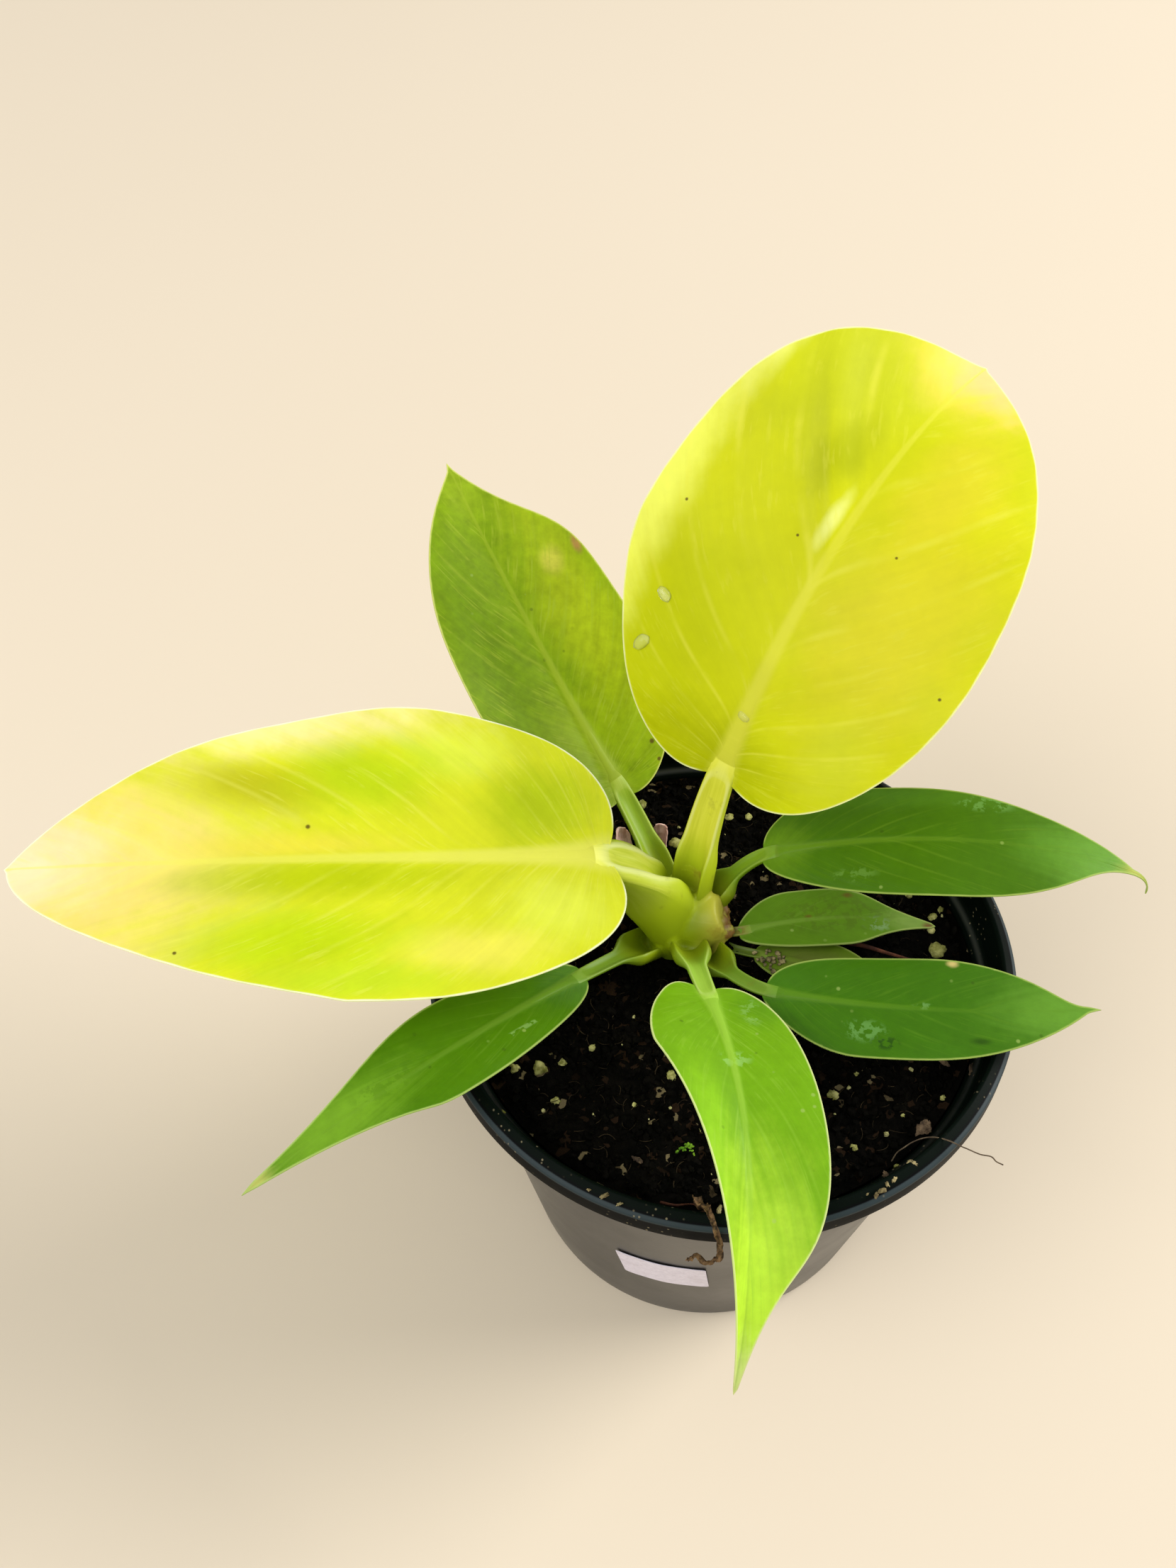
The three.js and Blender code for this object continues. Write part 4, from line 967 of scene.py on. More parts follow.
# Crown: the stem with the bases of the petioles grown together round it
CROWN_RINGS = [(62, 3.4), (74, 5.2), (84, 6.4), (89, 7), (94, 7.6), (97, 7), (100, 5.4), (102, 3)]
CROWN_SHARE = 0.32
LARGE_CROWN_SHARE = 0.42
CROWN_LEAVES = 7
CROWN_VOXEL = 0.5
CROWN_SMOOTHING = 10
STUB = [(-5, 9.3, 95.6), (-1.6, 8.6, 98), (1.2, 8.4, 99.6)]
STUB_RADII = (6.8, 6, 4.9)


def crown_material():
    """Green crown, brown round the torn stub, with painted shade low down at the soil."""
    shade = Shade("crown_skin")
    spot = shade.object_place()
    x, _, z = shade.parts(spot)
    color = crown_tint(shade, spot)
    stub = shade.times(shade.smooth(x, -0.007, 0.0005), shade.smooth(z, 0.0915, 0.095))
    color = shade.mix(shade.times(stub, 0.6), color, tone(188, 172, 68))
    ragged = shade.smooth(shade.noise(spot, 420, 3), 0.38, 0.55)
    torn = shade.times(shade.smooth(x, 0.0002, 0.0018), ragged)
    color = shade.mix(shade.times(torn, 0.85), color, tone(122, 74, 38))
    middle = tuple(c * MM for c in STUB[-1])
    pulp = shade.vector("LENGTH", shade.vector("SUBTRACT", spot, middle))
    pulp = shade.scaled(shade.noise(spot, 500, 3), 0.003, pulp)
    pulp = shade.times(shade.smooth(pulp, 0.0048, 0.0034), shade.smooth(x, 0.0018, 0.0032, 0.8))
    color = shade.mix(pulp, color, tone(206, 168, 118))
    tint = shade.smooth(shade.noise(spot, 170, 4, 0.6), 0.56, 0.72, 0.55)
    color = shade.mix(tint, color, tone(138, 120, 26))
    ringed = shade.scaled(shade.noise(spot, 60, 2), 1.2, shade.times(z, 260))
    scars = shade.math("FRACT", ringed)
    relief = shade.bump(shade.smooth(scars, 0.1, 0.0), 0.15, 0.3)
    relief = shade.bump(shade.noise(spot, 700, 3), 0.08, 0.5, relief)
    surface = shade.skin(color, 0.45, relief, shine=0.25)
    return shade.finish_thin(surface, color, 0.15)


def remesh(piece, voxel, smoothing):
    """Melts overlapping skins into one body with soft hollows between them."""
    shell = piece.modifiers.new("Melt", "REMESH")
    shell.mode = "VOXEL"
    shell.voxel_size = voxel * MM
    shell.use_smooth_shade = True
    soft = piece.modifiers.new("Soften", "SMOOTH")
    soft.factor = 0.5
    soft.iterations = smoothing
    return take_result(piece)


def make_crown():
    centre = np.array([*STEM_PLACE, 0.0])
    body = []
    for z, radius in CROWN_RINGS:
        body.append(centre + (0, -1.5 * smoothstep(85, 95, z), z) + radius * circle(32))
    stub_radii = np.interp(np.linspace(0, 2, 13), [0, 1, 2], STUB_RADII)
    skins = [loft(body), tube(curve_through(STUB, 6), stub_radii, 24)]
    for spec in LEAVES[:CROWN_LEAVES]:
        rings = stalk_rings(spec, Midrib(spec))[0]
        share = LARGE_CROWN_SHARE if spec.name in LARGE_LEAVES else CROWN_SHARE
        skins.append(loft(rings[:round(share * STALK_STEPS)]))
    piece = make_mesh("crown_grown", *join_skins(skins), [crown_material()])
    remesh(piece, CROWN_VOXEL, CROWN_SMOOTHING)
    for vertex in piece.data.vertices:
        spot = vertex.co / MM
        if spot.x > -0.5 and spot.z > 90:
            end = (spot.yz - Vector((STUB[-1][1:]))).length
            hollow = 1.1 * float(smoothstep(3.8, 0.5, end))
            ragged = noise.fractal(spot * 0.35, 0.8, 2.1, 3)
            vertex.co.x += MM * float(smoothstep(-0.5, 2.5, spot.x)) * (1.2 * ragged - hollow)
    return settle(piece, "stem_skin", "stem")


# Dried sheaths and scrap: thin curled strips
def strip(path, widths, faces_out, curl, thick, crumple, columns=8):
    """Points and faces of a thin crumpled strip along a path, curled across its width."""
    path = np.asarray(path, float)
    ahead = unit(np.gradient(path, axis=0))
    out = np.asarray(faces_out, float)
    out = unit(out - (out * ahead).sum(1, keepdims=True) * ahead)
    side = np.cross(ahead, out)
    across = np.linspace(-1, 1, columns + 1)
    rings = []
    for place, right, up, width in zip(path, side, out, widths):
        upper, lower = [], []
        for a in across:
            point = place + right * a * width / 2 + up * curl * width * (a * a - 0.4)
            wobble = noise.noise_vector(Vector(point) * 0.45) + noise.noise_vector(Vector(point) * 1.3) * 0.5
            wobble = np.array(wobble)
            point = point + crumple * ((wobble @ up) * up + 0.4 * (wobble @ right) * right)
            upper.append(point + up * thick / 2)
            lower.append(point - up * thick / 2)
        rings.append(np.array(upper + lower[::-1]))
    return loft(rings)


def dried_material(name, pale, dark):
    shade = Shade(name)
    spot = shade.object_place()
    fibres = shade.noise(shade.vector("MULTIPLY", spot, (900, 900, 90)), 1.0, 4, 0.65)
    color = shade.mix(shade.smooth(fibres, 0.3, 0.7), dark, pale)
    color = shade.mix(shade.smooth(shade.noise(spot, 200, 3), 0.5, 0.7, 0.6), color, dark)
    relief = shade.bump(fibres, 0.25, 0.6)
    surface = shade.skin(color, 0.7, relief, shine=0.25)
    return shade.finish_thin(surface, color, 0.25)


SHEATHS = [
    SimpleNamespace(name="dried_sheath_left", at=(-20.5, 27, 99), lean=(-0.2, 0.25, 1),
                    length=13, width=4.6, turn=20),
    SimpleNamespace(name="dried_sheath_back", at=(-12.4, 33.5, 93), lean=(0.1, 0.15, 1),
                    length=12, width=5.2, turn=-28),
]
SHEATH_STEPS = 25
SCRAP_PATH = [
    (-8.2, -55.5, 91.2), (-7.8, -58.6, 94), (-7.1, -60.3, 98.6), (-6.4, -62.6, 100), (-5.4, -65.3, 99),
    (-4.4, -66.3, 95), (-4.3, -66.4, 90.5), (-5.7, -66.5, 87.6), (-7.7, -66.3, 88.6), (-9.2, -66, 89.6),
    (-10.4, -65.8, 86),
]
SCRAP_WIDTHS = (2.2, 1.0, 1.4, 0.7)


def make_dried_sheath(spec, material):
    lean = unit(spec.lean)
    t = np.linspace(0, 1, SHEATH_STEPS)
    path = np.array(spec.at) + ((t - 0.45) * spec.length)[:, None] * lean
    side = np.array([math.cos(math.radians(spec.turn)), math.sin(math.radians(spec.turn)), 0])
    front = np.cross(side, lean)
    widths = spec.width * (1 - 0.3 * t) * (1 - 0.25 * smoothstep(0.85, 1, t))
    points, faces = strip(path, widths, np.tile(front, (SHEATH_STEPS, 1)), 0.3, 0.4, 0.5)
    piece = make_mesh(spec.name + "_papery", points, faces, [material], 70)
    return settle(piece, "dried_leaf", spec.name)


def make_scrap():
    path = curve_through(SCRAP_PATH, 9)
    t = np.linspace(0, len(SCRAP_WIDTHS) - 1, len(path))
    widths = np.interp(t, range(len(SCRAP_WIDTHS)), SCRAP_WIDTHS)
    rim_middle = (RIM_RADIUS + RIM_INNER) / 2
    level = path * (1, 1, 0)
    away = path - level * rim_middle / np.linalg.norm(level, axis=1, keepdims=True)
    away[:, 2] = np.maximum(0, path[:, 2] - 93)
    points, faces = strip(path + 0.35 * unit(away), widths, away, 0.25, 0.35, 0.9)
    material = dried_material("brown_scrap", tone(150, 116, 76), tone(34, 22, 13))
    piece = make_mesh("dried_scrap_crumpled", points, faces, [material], 70)
    return settle(piece, "dried_leaf", "dried_scrap")


# Sticker, left bare
LABEL = SimpleNamespace(width=20.5, low=31.8, high=47.4, middle=-104.8, thick=0.16, corner=0.35, tilt=0.1)


def label_material():
    shade = Shade("bare_sticker")
    spot = shade.object_place()
    fibre = shade.noise(spot, 900, 4, 0.7)
    color = shade.mix(shade.smooth(fibre, 0.3, 0.7), tone(206, 198, 210), tone(222, 215, 226))
    smudge = shade.smooth(shade.noise(spot, 120, 3), 0.55, 0.75, 0.35)
    color = shade.mix(smudge, color, tone(178, 166, 170))
    relief = shade.bump(fibre, 0.05, 0.4)
    return shade.finish(shade.skin(color, 0.5, relief, shine=0.3))


def make_label():
    """A thin curved sheet with rounded corners, just off the tapered wall."""
    spread = LABEL.width / outer_radius((LABEL.low + LABEL.high) / 2)
    rings = []
    for share in np.linspace(0, 1, 33):
        inset = LABEL.width * min(share, 1 - share)
        cut = LABEL.corner - math.sqrt(max(0, LABEL.corner ** 2 - max(0, LABEL.corner - inset) ** 2))
        heights = np.linspace(LABEL.low + cut, LABEL.high - cut, 13)
        lift = 0.12 * noise.noise((share * 4, 1.5, 0.3)) + 0.3
        rise = heights - (LABEL.low + LABEL.high) / 2
        angles = math.radians(LABEL.middle) + spread * (share - 0.5)
        angles = angles - LABEL.tilt * rise / outer_radius(heights)
        heights = heights + LABEL.tilt * LABEL.width * (share - 0.5)
        sides = []
        for radius in (outer_radius(heights) + lift, outer_radius(heights) + lift + LABEL.thick):
            sides.append(np.column_stack([radius * np.cos(angles), radius * np.sin(angles), heights]))
        rings.append(np.vstack([sides[0], sides[1][::-1]]))
    points, faces = loft(rings)
    piece = make_mesh("sticker_bare", points, faces, [label_material()], 40)
    return settle(piece, "sticker", "label")


# Pot
def arc(centre, radius, first, last, steps):
    """Points of a round corner, by its angles in degrees."""
    turns = np.radians(np.linspace(first, last, steps + 1))
    return [(centre[0] + radius * math.cos(a), centre[1] + radius * math.sin(a)) for a in turns]


def outer_radius(z):
    return BASE_RADIUS + (NECK_RADIUS - BASE_RADIUS) * z / NECK_HEIGHT


def inner_radius(z):
    return outer_radius(z) - WALL


def pot_profile():
    """Radius and height round the pot's wall, from the middle of its underside to its floor."""
    foot, lower_corner, shoulder = 0.9, 1.3, NECK_HEIGHT - 2.4
    wall = [(outer_radius(z), z) for z in np.linspace(foot + 2, NECK_HEIGHT - 0.6, 24)]
    under_rim = [(NECK_RADIUS + 0.5, NECK_HEIGHT - 0.1), (NECK_RADIUS + 1.4, NECK_HEIGHT + 0.05)]
    band = arc((RIM_RADIUS - lower_corner, NECK_HEIGHT + 0.3 + lower_corner), lower_corner, -90, 0, 6)
    side = [(RIM_RADIUS, NECK_HEIGHT + 3.4), (RIM_RADIUS, POT_HEIGHT - 2.6)]
    lip = arc((RIM_RADIUS - 0.7, POT_HEIGHT - 2.2), 0.7, 8, 68, 4)
    crest = arc((RIM_RADIUS - 2.7, POT_HEIGHT - 0.75), 0.75, 70, 178, 6)
    inside = [(RIM_INNER + 0.4, POT_HEIGHT - 3), (RIM_INNER, NECK_HEIGHT + 0.9),
              (RIM_INNER - 0.1, NECK_HEIGHT + 0.3)]
    inside += [(RIM_INNER - 0.9, NECK_HEIGHT - 0.4), (inner_radius(shoulder) + 0.2, shoulder + 0.6)]
    inside += [(inner_radius(z), z) for z in (shoulder, 60, 30, FLOOR + 1)]
    bottom = [(0, 0), (DRAIN_CIRCLE, 0), (BASE_RADIUS - foot, 0)]
    corner = arc((BASE_RADIUS - foot, foot), foot, -80, -5, 4)
    floor = [(inner_radius(FLOOR) - 1, FLOOR), (0, FLOOR)]
    return bottom + corner + wall + under_rim + band + side + lip + crest + inside + floor


def lathe_tree(material):
    """Turns a profile, given as points at x and z, into a round body with drain holes."""
    flow = Flow("Pot lathe")
    sides, rings = flow.size("Sides", "Int"), flow.size("Rings", "Int")
    holes, hole_circle = flow.size("Drain holes", "Int"), flow.size("Drain circle")
    bore, depth = flow.size("Drain radius"), flow.size("Drain depth")
    around = flow.plus(sides, 1)
    sheet_size = {"Size X": 1.0, "Size Y": 1.0, "Vertices X": around, "Vertices Y": rings}
    sheet = flow.node("GeometryNodeMeshGrid", sheet_size)
    here = flow.node("GeometryNodeInputPosition").outputs[0]
    grid_x, grid_y, _ = flow.parts(here)
    turn = flow.times(flow.plus(grid_x, 0.5), 2 * math.pi)
    last = flow.minus(rings, 1)
    ring = flow.math("ROUND", flow.times(flow.plus(grid_y, 0.5), last))
    sample = flow.node("GeometryNodeSampleIndex", {"Geometry": flow.start, "Value": here, "Index": ring},
                       data_type="FLOAT_VECTOR", domain="POINT")
    radius, _, height = flow.parts(sample.outputs[0])
    x = flow.times(radius, flow.math("COSINE", turn))
    y = flow.times(radius, flow.math("SINE", turn))
    target = flow.joined(x, y, height)
    turned = flow.node("GeometryNodeSetPosition", {"Geometry": sheet.outputs[0], "Position": target})
    closed = flow.node("GeometryNodeMergeByDistance", {"Geometry": turned.outputs[0], "Distance": 1e-6})
    step = flow.math("DIVIDE", 2 * math.pi, holes)
    first = flow.node("GeometryNodeMeshCircle", {"Vertices": holes, "Radius": hole_circle})
    half_step = flow.joined(z=flow.times(step, 0.5))
    centres = flow.node("GeometryNodeTransform", {"Geometry": first.outputs[0], "Rotation": half_step})
    drill = flow.node("GeometryNodeMeshCylinder", {"Vertices": 40, "Radius": bore, "Depth": depth})
    drills = flow.copies(centres, drill)
    cutters = flow.node("GeometryNodeRealizeInstances", {0: drills.outputs[0]})
    cut = flow.node("GeometryNodeMeshBoolean", {"Mesh 1": closed.outputs[0], "Mesh 2": cutters.outputs[0]},
                    operation="DIFFERENCE", solver="EXACT")
    return flow.finish(cut.outputs[0], material)


def plastic_material():
    """Black moulded plastic: a taupe wall, partly dust and partly painted reflection of the floor, a dark rim
    with a painted highlight, and specks of soil round the rim.
    """
    shade = Shade("black_pot_plastic")
    spot = shade.object_place()
    x, y, z = shade.parts(spot)
    radius = shade.vector("LENGTH", shade.joined(x, y))
    outside = shade.smooth(shade.minus(radius, shade.times(z, 0.159)), 0.0443, 0.0449)
    on_wall = shade.times(shade.smooth(z, 0.0912, 0.0904), outside)
    dust = shade.smooth(shade.noise(spot, 40, 4, 0.6), 0.3, 0.75)
    # The wall's warm taupe is partly dust and partly painted reflection of the floor.
    dust_and_floor_reflection = shade.mix(dust, tone(34, 32, 31), tone(46, 43, 40))
    color = shade.mix(on_wall, tone(6, 7, 7), dust_and_floor_reflection)
    # Painted highlight: a blue-grey band along the outer top of the rim.
    edge = shade.times(shade.smooth(radius, 0.0640, 0.0643), shade.smooth(z, 0.0964, 0.0970))
    color = shade.mix(edge, color, tone(40, 50, 52))
    inner = shade.times(shade.smooth(radius, 0.0640, 0.0634), shade.smooth(z, 0.085, 0.09))
    color = shade.mix(shade.times(inner, 0.7), color, tone(5, 14, 7))
    flecks = shade.smooth(shade.cells(spot, 640).outputs["Distance"], 0.2, 0.08)
    dirty = shade.times(flecks, shade.smooth(shade.noise(spot, 55, 2), 0.5, 0.62))
    dirty = shade.times(dirty, shade.smooth(z, 0.084, 0.092, 0.8))
    color = shade.mix(dirty, color, tone(128, 118, 92))
    relief = shade.bump(shade.noise(spot, 1500, 2), 0.04, 0.4)
    rough = shade.scaled(on_wall, -0.14, shade.scaled(dust, 0.1, 0.44))
    shine = shade.scaled(on_wall, 0.5, shade.scaled(edge, 0.12, 0.03))
    return shade.finish(shade.skin(color, rough, relief, shine=shine))


def make_pot():
    points = [(r, 0, z) for r, z in pot_profile()]
    material = plastic_material()
    mesh = bpy.data.meshes.new("pot_profile")
    edges = [(i, i + 1) for i in range(len(points) - 1)]
    mesh.from_pydata((np.array(points) * MM).tolist(), edges, [])
    piece = add_object("pot_turned", mesh)
    sizes = {"Sides": POT_SIDES, "Rings": len(points), "Drain holes": DRAIN_COUNT,
             "Drain circle": DRAIN_CIRCLE * MM,
             "Drain radius": DRAIN_RADIUS * MM, "Drain depth": 4 * FLOOR * MM}
    grow(piece, lathe_tree(material), sizes)
    piece.data.shade_smooth()
    piece.data.set_sharp_from_angle(angle=math.radians(50))
    return settle(piece, "black_plastic", "pot")


# Soil
def soil_height(x, y):
    """Height of the soil's surface, without its crumbs."""
    from_stem = (x - STEM_PLACE[0]) ** 2 + (y - STEM_PLACE[1]) ** 2
    heap = SOIL_HEAP * np.exp(-from_stem / SOIL_HEAP_SPREAD)
    ripple = np.sin(0.31 * x + 1.3) * np.cos(0.27 * y) + 0.6 * np.sin(0.23 * (x + y))
    fade = 1 - (np.hypot(x, y) / 70) ** 4
    return SOIL_LEVEL + heap + 0.7 * ripple * fade


def clods(x, y):
    """Lumps and pits of the soil's surface at one place."""
    lump = noise.fractal((x * 0.22, y * 0.22, 3.1), 0.9, 2.1, 4)
    fine = noise.fractal((x * 0.9, y * 0.9, 7.7), 0.8, 2.2, 3)
    return 0.75 * lump + 0.3 * fine


def soil_material():
    """Moist dark potting mix with brown bark and pale mineral grains."""
    shade = Shade("potting_mix_dark")
    spot = shade.object_place()
    fleck = shade.cells(spot, 620)
    color = shade.mix(shade.smooth(shade.noise(spot, 240, 5, 0.7), 0.35, 0.7), tone(2, 2, 1), tone(11, 9, 6))
    chance = shade.parts(fleck.outputs["Color"])[0]
    color = shade.mix(shade.smooth(chance, 0.86, 0.93, 0.8), color, tone(40, 28, 18))
    color = shade.mix(shade.smooth(chance, 0.975, 0.985, 0.9), color, tone(110, 98, 70))
    relief = shade.bump(shade.noise(spot, 900, 5, 0.75), 0.5, 0.9)
    rough = shade.scaled(shade.noise(spot, 300, 3), 0.4, 0.55)
    return shade.finish(shade.skin(color, rough, relief, shine=0.02))


def make_soil(material):
    """The filled body of soil, with a lumpy top."""
    edge = SOIL_LEVEL - SOIL_EDGE_DROP
    bottom = FLOOR + 0.3
    flat = circle(SOIL_SIDES)[:, :2]
    side = lambda z: inner_radius(z) - SOIL_GAP
    rings = [np.column_stack([flat * side(z), np.full(SOIL_SIDES, z)]) for z in (bottom, 45, edge)]
    for share in np.linspace(1, 0.01, SOIL_RINGS)[1:]:
        x, y = (flat * side(edge) * share).T
        fade = min(1, 12 * (1 - share))
        lumps = np.array([clods(a, b) for a, b in zip(x, y)])
        rings.append(np.column_stack([x, y, soil_height(x, y) * fade + edge * (1 - fade) + lumps * fade]))
    points, faces = loft(rings)
    piece = make_mesh("soil_filled", points, faces, [material], 70)
    return settle(piece, "potting_mix", "soil")


def soil_sheet(reach):
    """A plain sheet at the soil's surface, on which grains and fibres are scattered."""
    rings = []
    for radius in np.linspace(reach, 2, 14):
        x, y, _ = radius * circle(48).T
        lumps = np.array([clods(a, b) for a, b in zip(x, y)])
        rings.append(np.column_stack([x, y, soil_height(x, y) + lumps]))
    points, faces = loft(rings)
    return points, faces[:-2]


def scatter_tree(name, material, sides):
    """Crumpled grains on a surface: how many, how large and how flat they are."""
    flow = Flow(name)
    density, seed = flow.size("Density"), flow.size("Seed", "Int")
    small, large = flow.size("Smallest"), flow.size("Largest")
    flat, long, crumple = flow.size("Flatness"), flow.size("Longness"), flow.size("Crumple")
    spread = flow.scattered(density, seed)
    grain = flow.node("GeometryNodeMeshIcoSphere", {"Radius": 1.0, "Subdivisions": sides})
    size = flow.random(0.0, 1.0, 3)
    size = flow.math("POWER", size, 2.2)
    size = flow.scaled(size, flow.minus(large, small), small)
    shape = flow.joined(flow.times(size, long), size, flow.times(size, flat))
    turn = flow.random((-0.9, -0.9, 0), (0.9, 0.9, FULL_TURN), 5, vector=True)
    placed = flow.copies(spread, grain, Scale=shape, Rotation=turn)
    real = flow.node("GeometryNodeRealizeInstances", {0: placed.outputs[0]})
    rough = flow.node("ShaderNodeTexNoise", {"Scale": 900.0, "Detail": 2.0})
    from_middle = {0: rough.outputs["Color"], 1: (0.5, 0.5, 0.5)}
    centred = flow.node("ShaderNodeVectorMath", from_middle, operation="SUBTRACT")
    push = flow.node("ShaderNodeVectorMath", {0: centred.outputs[0], "Scale": crumple}, operation="SCALE")
    uneven = flow.node("GeometryNodeSetPosition", {"Geometry": real.outputs[0], "Offset": push.outputs[0]})
    return flow.finish(uneven.outputs[0], material)


def scatter(name, material, slot, reach, facets=1, **sizes):
    points, faces = soil_sheet(reach)
    piece = make_mesh(name, points, faces, [])
    grow(piece, scatter_tree(name + " scatter", material, facets), sizes)
    return settle(piece, slot)


def grain_material(name, dark, light, relief_depth=0.25, shine=0.2):
    """A rough mineral or bark grain, between two tones."""
    shade = Shade(name)
    spot = shade.object_place()
    color = shade.mix(shade.smooth(shade.noise(spot, 420, 5, 0.7), 0.3, 0.72), dark, light)
    own = shade.noise(spot, 130, 1)
    color = shade.mix(shade.smooth(own, 0.4, 0.65, 0.5), color, dark)
    relief = shade.bump(shade.noise(spot, 1600, 4, 0.7), relief_depth, 0.8)
    return shade.finish(shade.skin(color, 0.82, relief, shine=shine))


# Larger things on the soil, mostly at places read off the photograph: x, y and radius of each
# lump, with its height too on the rim
RIM_CRUMBS = [
    (-26.8, -57.6, 98.6, 0.75), (-24, -59.6, 99, 0.5), (-29.9, -56.2, 98.3, 0.35),
    (-34.3, -52.8, 98.2, 0.35), (-4.4, -60.8, 98.4, 0.8), (28.1, -57.4, 99.1, 0.8),
    (29.2, -55.8, 98.6, 0.6), (26.6, -58.5, 99.2, 0.6), (30.8, -54.6, 98.5, 0.7),
    (35, -51.4, 98.5, 0.9), (25, -57.8, 98.5, 0.4),
]
PALE_GRAINS = [
    (-45.8, -24.3, 1.2), (-40.3, -24.4, 1.6), (-36.8, -32, 0.9), (-48.2, -35, 0.9), (-28.8, -19.8, 0.8),
    (-35.5, -22.9, 1.0), (-20, -32.9, 0.6), (-12, -26.3, 1.2), (22.3, -31.4, 1.2), (27.9, -26.8, 0.7),
    (45.5, -32.6, 0.7), (36.5, -36.5, 0.5), (25.1, -44, 0.8), (33.7, -47.7, 0.7), (50.3, 4.4, 2.1),
    (49.6, 9.8, 1.0), (50.4, 13.2, 1.1), (52.8, 15.6, 0.8), (60.2, 0.9, 0.6), (5.4, 43.8, 1.1),
    (10.3, 44.5, 1.0), (-8.2, 35, 1.6), (11.3, 31.5, 0.9), (-15.8, 47.8, 1.2), (25.7, 37.1, 0.9),
    (12, 14, 0.8), (-14.6, 24.6, 1.0), (40, 25, 1.2), (46, 20, 0.8), (-44, -8, 1.0), (-38, 2, 1.3),
    (-30, 34, 1.4), (30, 38, 1.0),
]
BARK_CHIPS = [
    (53.3, -27.4, 2.0), (40.4, -39.5, 1.6), (37.9, -46.7, 1.3), (47, -24, 1.0), (-20, -46, 1.0),
    (30, -14, 1.3), (34, -51, 1.1), (31, -50, 0.9),
]
MOSS_PLACE = (-9.4, -43.5)
MOSS_COUNT = 34
LEAF_CRUMBS = (3.5, -0.5)
LEAF_CRUMB_COUNT = 26
TWIG = [(28, 6.4, 91.4), (33, 4.8, 92), (38, 3, 91.8), (44, 1.3, 91)]
FINE_ROOT = [(-15.5, -55.3, 90.2), (-12.5, -56.3, 90.9), (-9.1, -56, 90.6), (-5.6, -56.9, 90.4)]
ROOT_THREAD = [
    (32.4, -47.4, 91), (33.3, -46.5, 93), (34.6, -46.1, 94.5), (36.1, -45.5, 95.5), (38.1, -44.9, 96),
    (39.8, -45.1, 97), (41, -46, 98.5), (42.9, -47.3, 99.6), (44.8, -48.5, 99.8), (46.2, -49.2, 99.8),
    (48.5, -50.2, 99.5), (50.6, -50.7, 99.5), (51.7, -51.3, 98.5), (53.1, -51.8, 98),
]
WATER_DROPS = [(29.3, 26.6, 1.5), (18.4, 27.1, 1.7), (13.8, 0.2, 1.3)]


def lump(centre, radii, turn, rough, subdivisions=3):
    """Points and faces of an uneven rounded lump."""
    ball = bmesh.new()
    bmesh.ops.create_icosphere(ball, subdivisions=subdivisions, radius=1)
    points = []
    for vertex in ball.verts:
        place = vertex.co.normalized()
        offset = Vector(centre) * 3.1
        swell = 1 + rough * noise.fractal(place * 1.3 + offset, 0.7, 2.1, 4)
        points.append(np.array(place) * radii * swell)
    faces = [[v.index for v in face.verts] for face in ball.faces]
    ball.free()
    c, s = math.cos(turn), math.sin(turn)
    spin = np.array([[c, s, 0], [-s, c, 0], [0, 0, 1]])
    return np.array(points) @ spin + centre, faces


def lay(name, skins, material, smooth_angle=180):
    """Settles loose lumps or strands on the soil as one mesh."""
    piece = make_mesh(name, *join_skins(skins), [material], smooth_angle)
    return settle(piece, "potting_mix")


def ground(x, y):
    return float(soil_height(x, y)) + clods(x, y)


def make_grains():
    random = np.random.default_rng(SEED)
    pale = []
    for x, y, radius in PALE_GRAINS:
        radii = radius * random.uniform((0.85, 0.75, 0.6), (1.15, 1.0, 0.85))
        pale.append(lump((x, y, ground(x, y) + 0.3 * radius), radii, random.uniform(0, FULL_TURN), 0.4))
    material = grain_material("perlite", tone(104, 104, 36), tone(216, 212, 136), 0.6)
    lay("perlite_grains", pale, material)
    straw = []
    for x, y, z, radius in RIM_CRUMBS:
        radii = radius * np.array([1.1, 0.55, 0.4])
        straw.append(lump((x, y, z + 0.2 * radius), radii, random.uniform(0, FULL_TURN), 0.9))
    material = grain_material("straw_crumb", tone(86, 72, 44), tone(196, 180, 128), 0.4)
    lay("rim_crumbs", straw, material)
    bark = []
    for x, y, radius in BARK_CHIPS:
        radii = radius * random.uniform((0.9, 0.55, 0.35), (1.4, 0.8, 0.55))
        bark.append(lump((x, y, ground(x, y) + 0.25 * radius), radii, random.uniform(0, FULL_TURN), 0.7))
    material = grain_material("bark", tone(38, 28, 20), tone(140, 116, 88), 0.6)
    lay("bark_chips", bark, material, 50)


def make_leaf_crumbs():
    """Sand and crumbs washed on to the base of the smallest leaf."""
    random = np.random.default_rng(SEED + 9)
    spec = LEAVES[-1]
    crumbs = []
    for _ in range(LEAF_CRUMB_COUNT):
        along, across = random.normal(LEAF_CRUMBS[0], 1.7), random.normal(LEAF_CRUMBS[1], 1.3)
        points, normals = blade_points(spec, Midrib(spec), np.array([along]), np.array([across]))
        radius = random.uniform(0.35, 0.8)
        radii = radius * random.uniform(0.7, 1.1, 3)
        centre = points[0] + normals[0] * (0.4 + 0.4 * radius)
        crumbs.append(lump(centre, radii, random.uniform(0, FULL_TURN), 0.5, 2))
    material = grain_material("leaf_crumb", tone(30, 26, 18), tone(206, 190, 128), 0.4)
    lay("leaf_crumbs", crumbs, material)


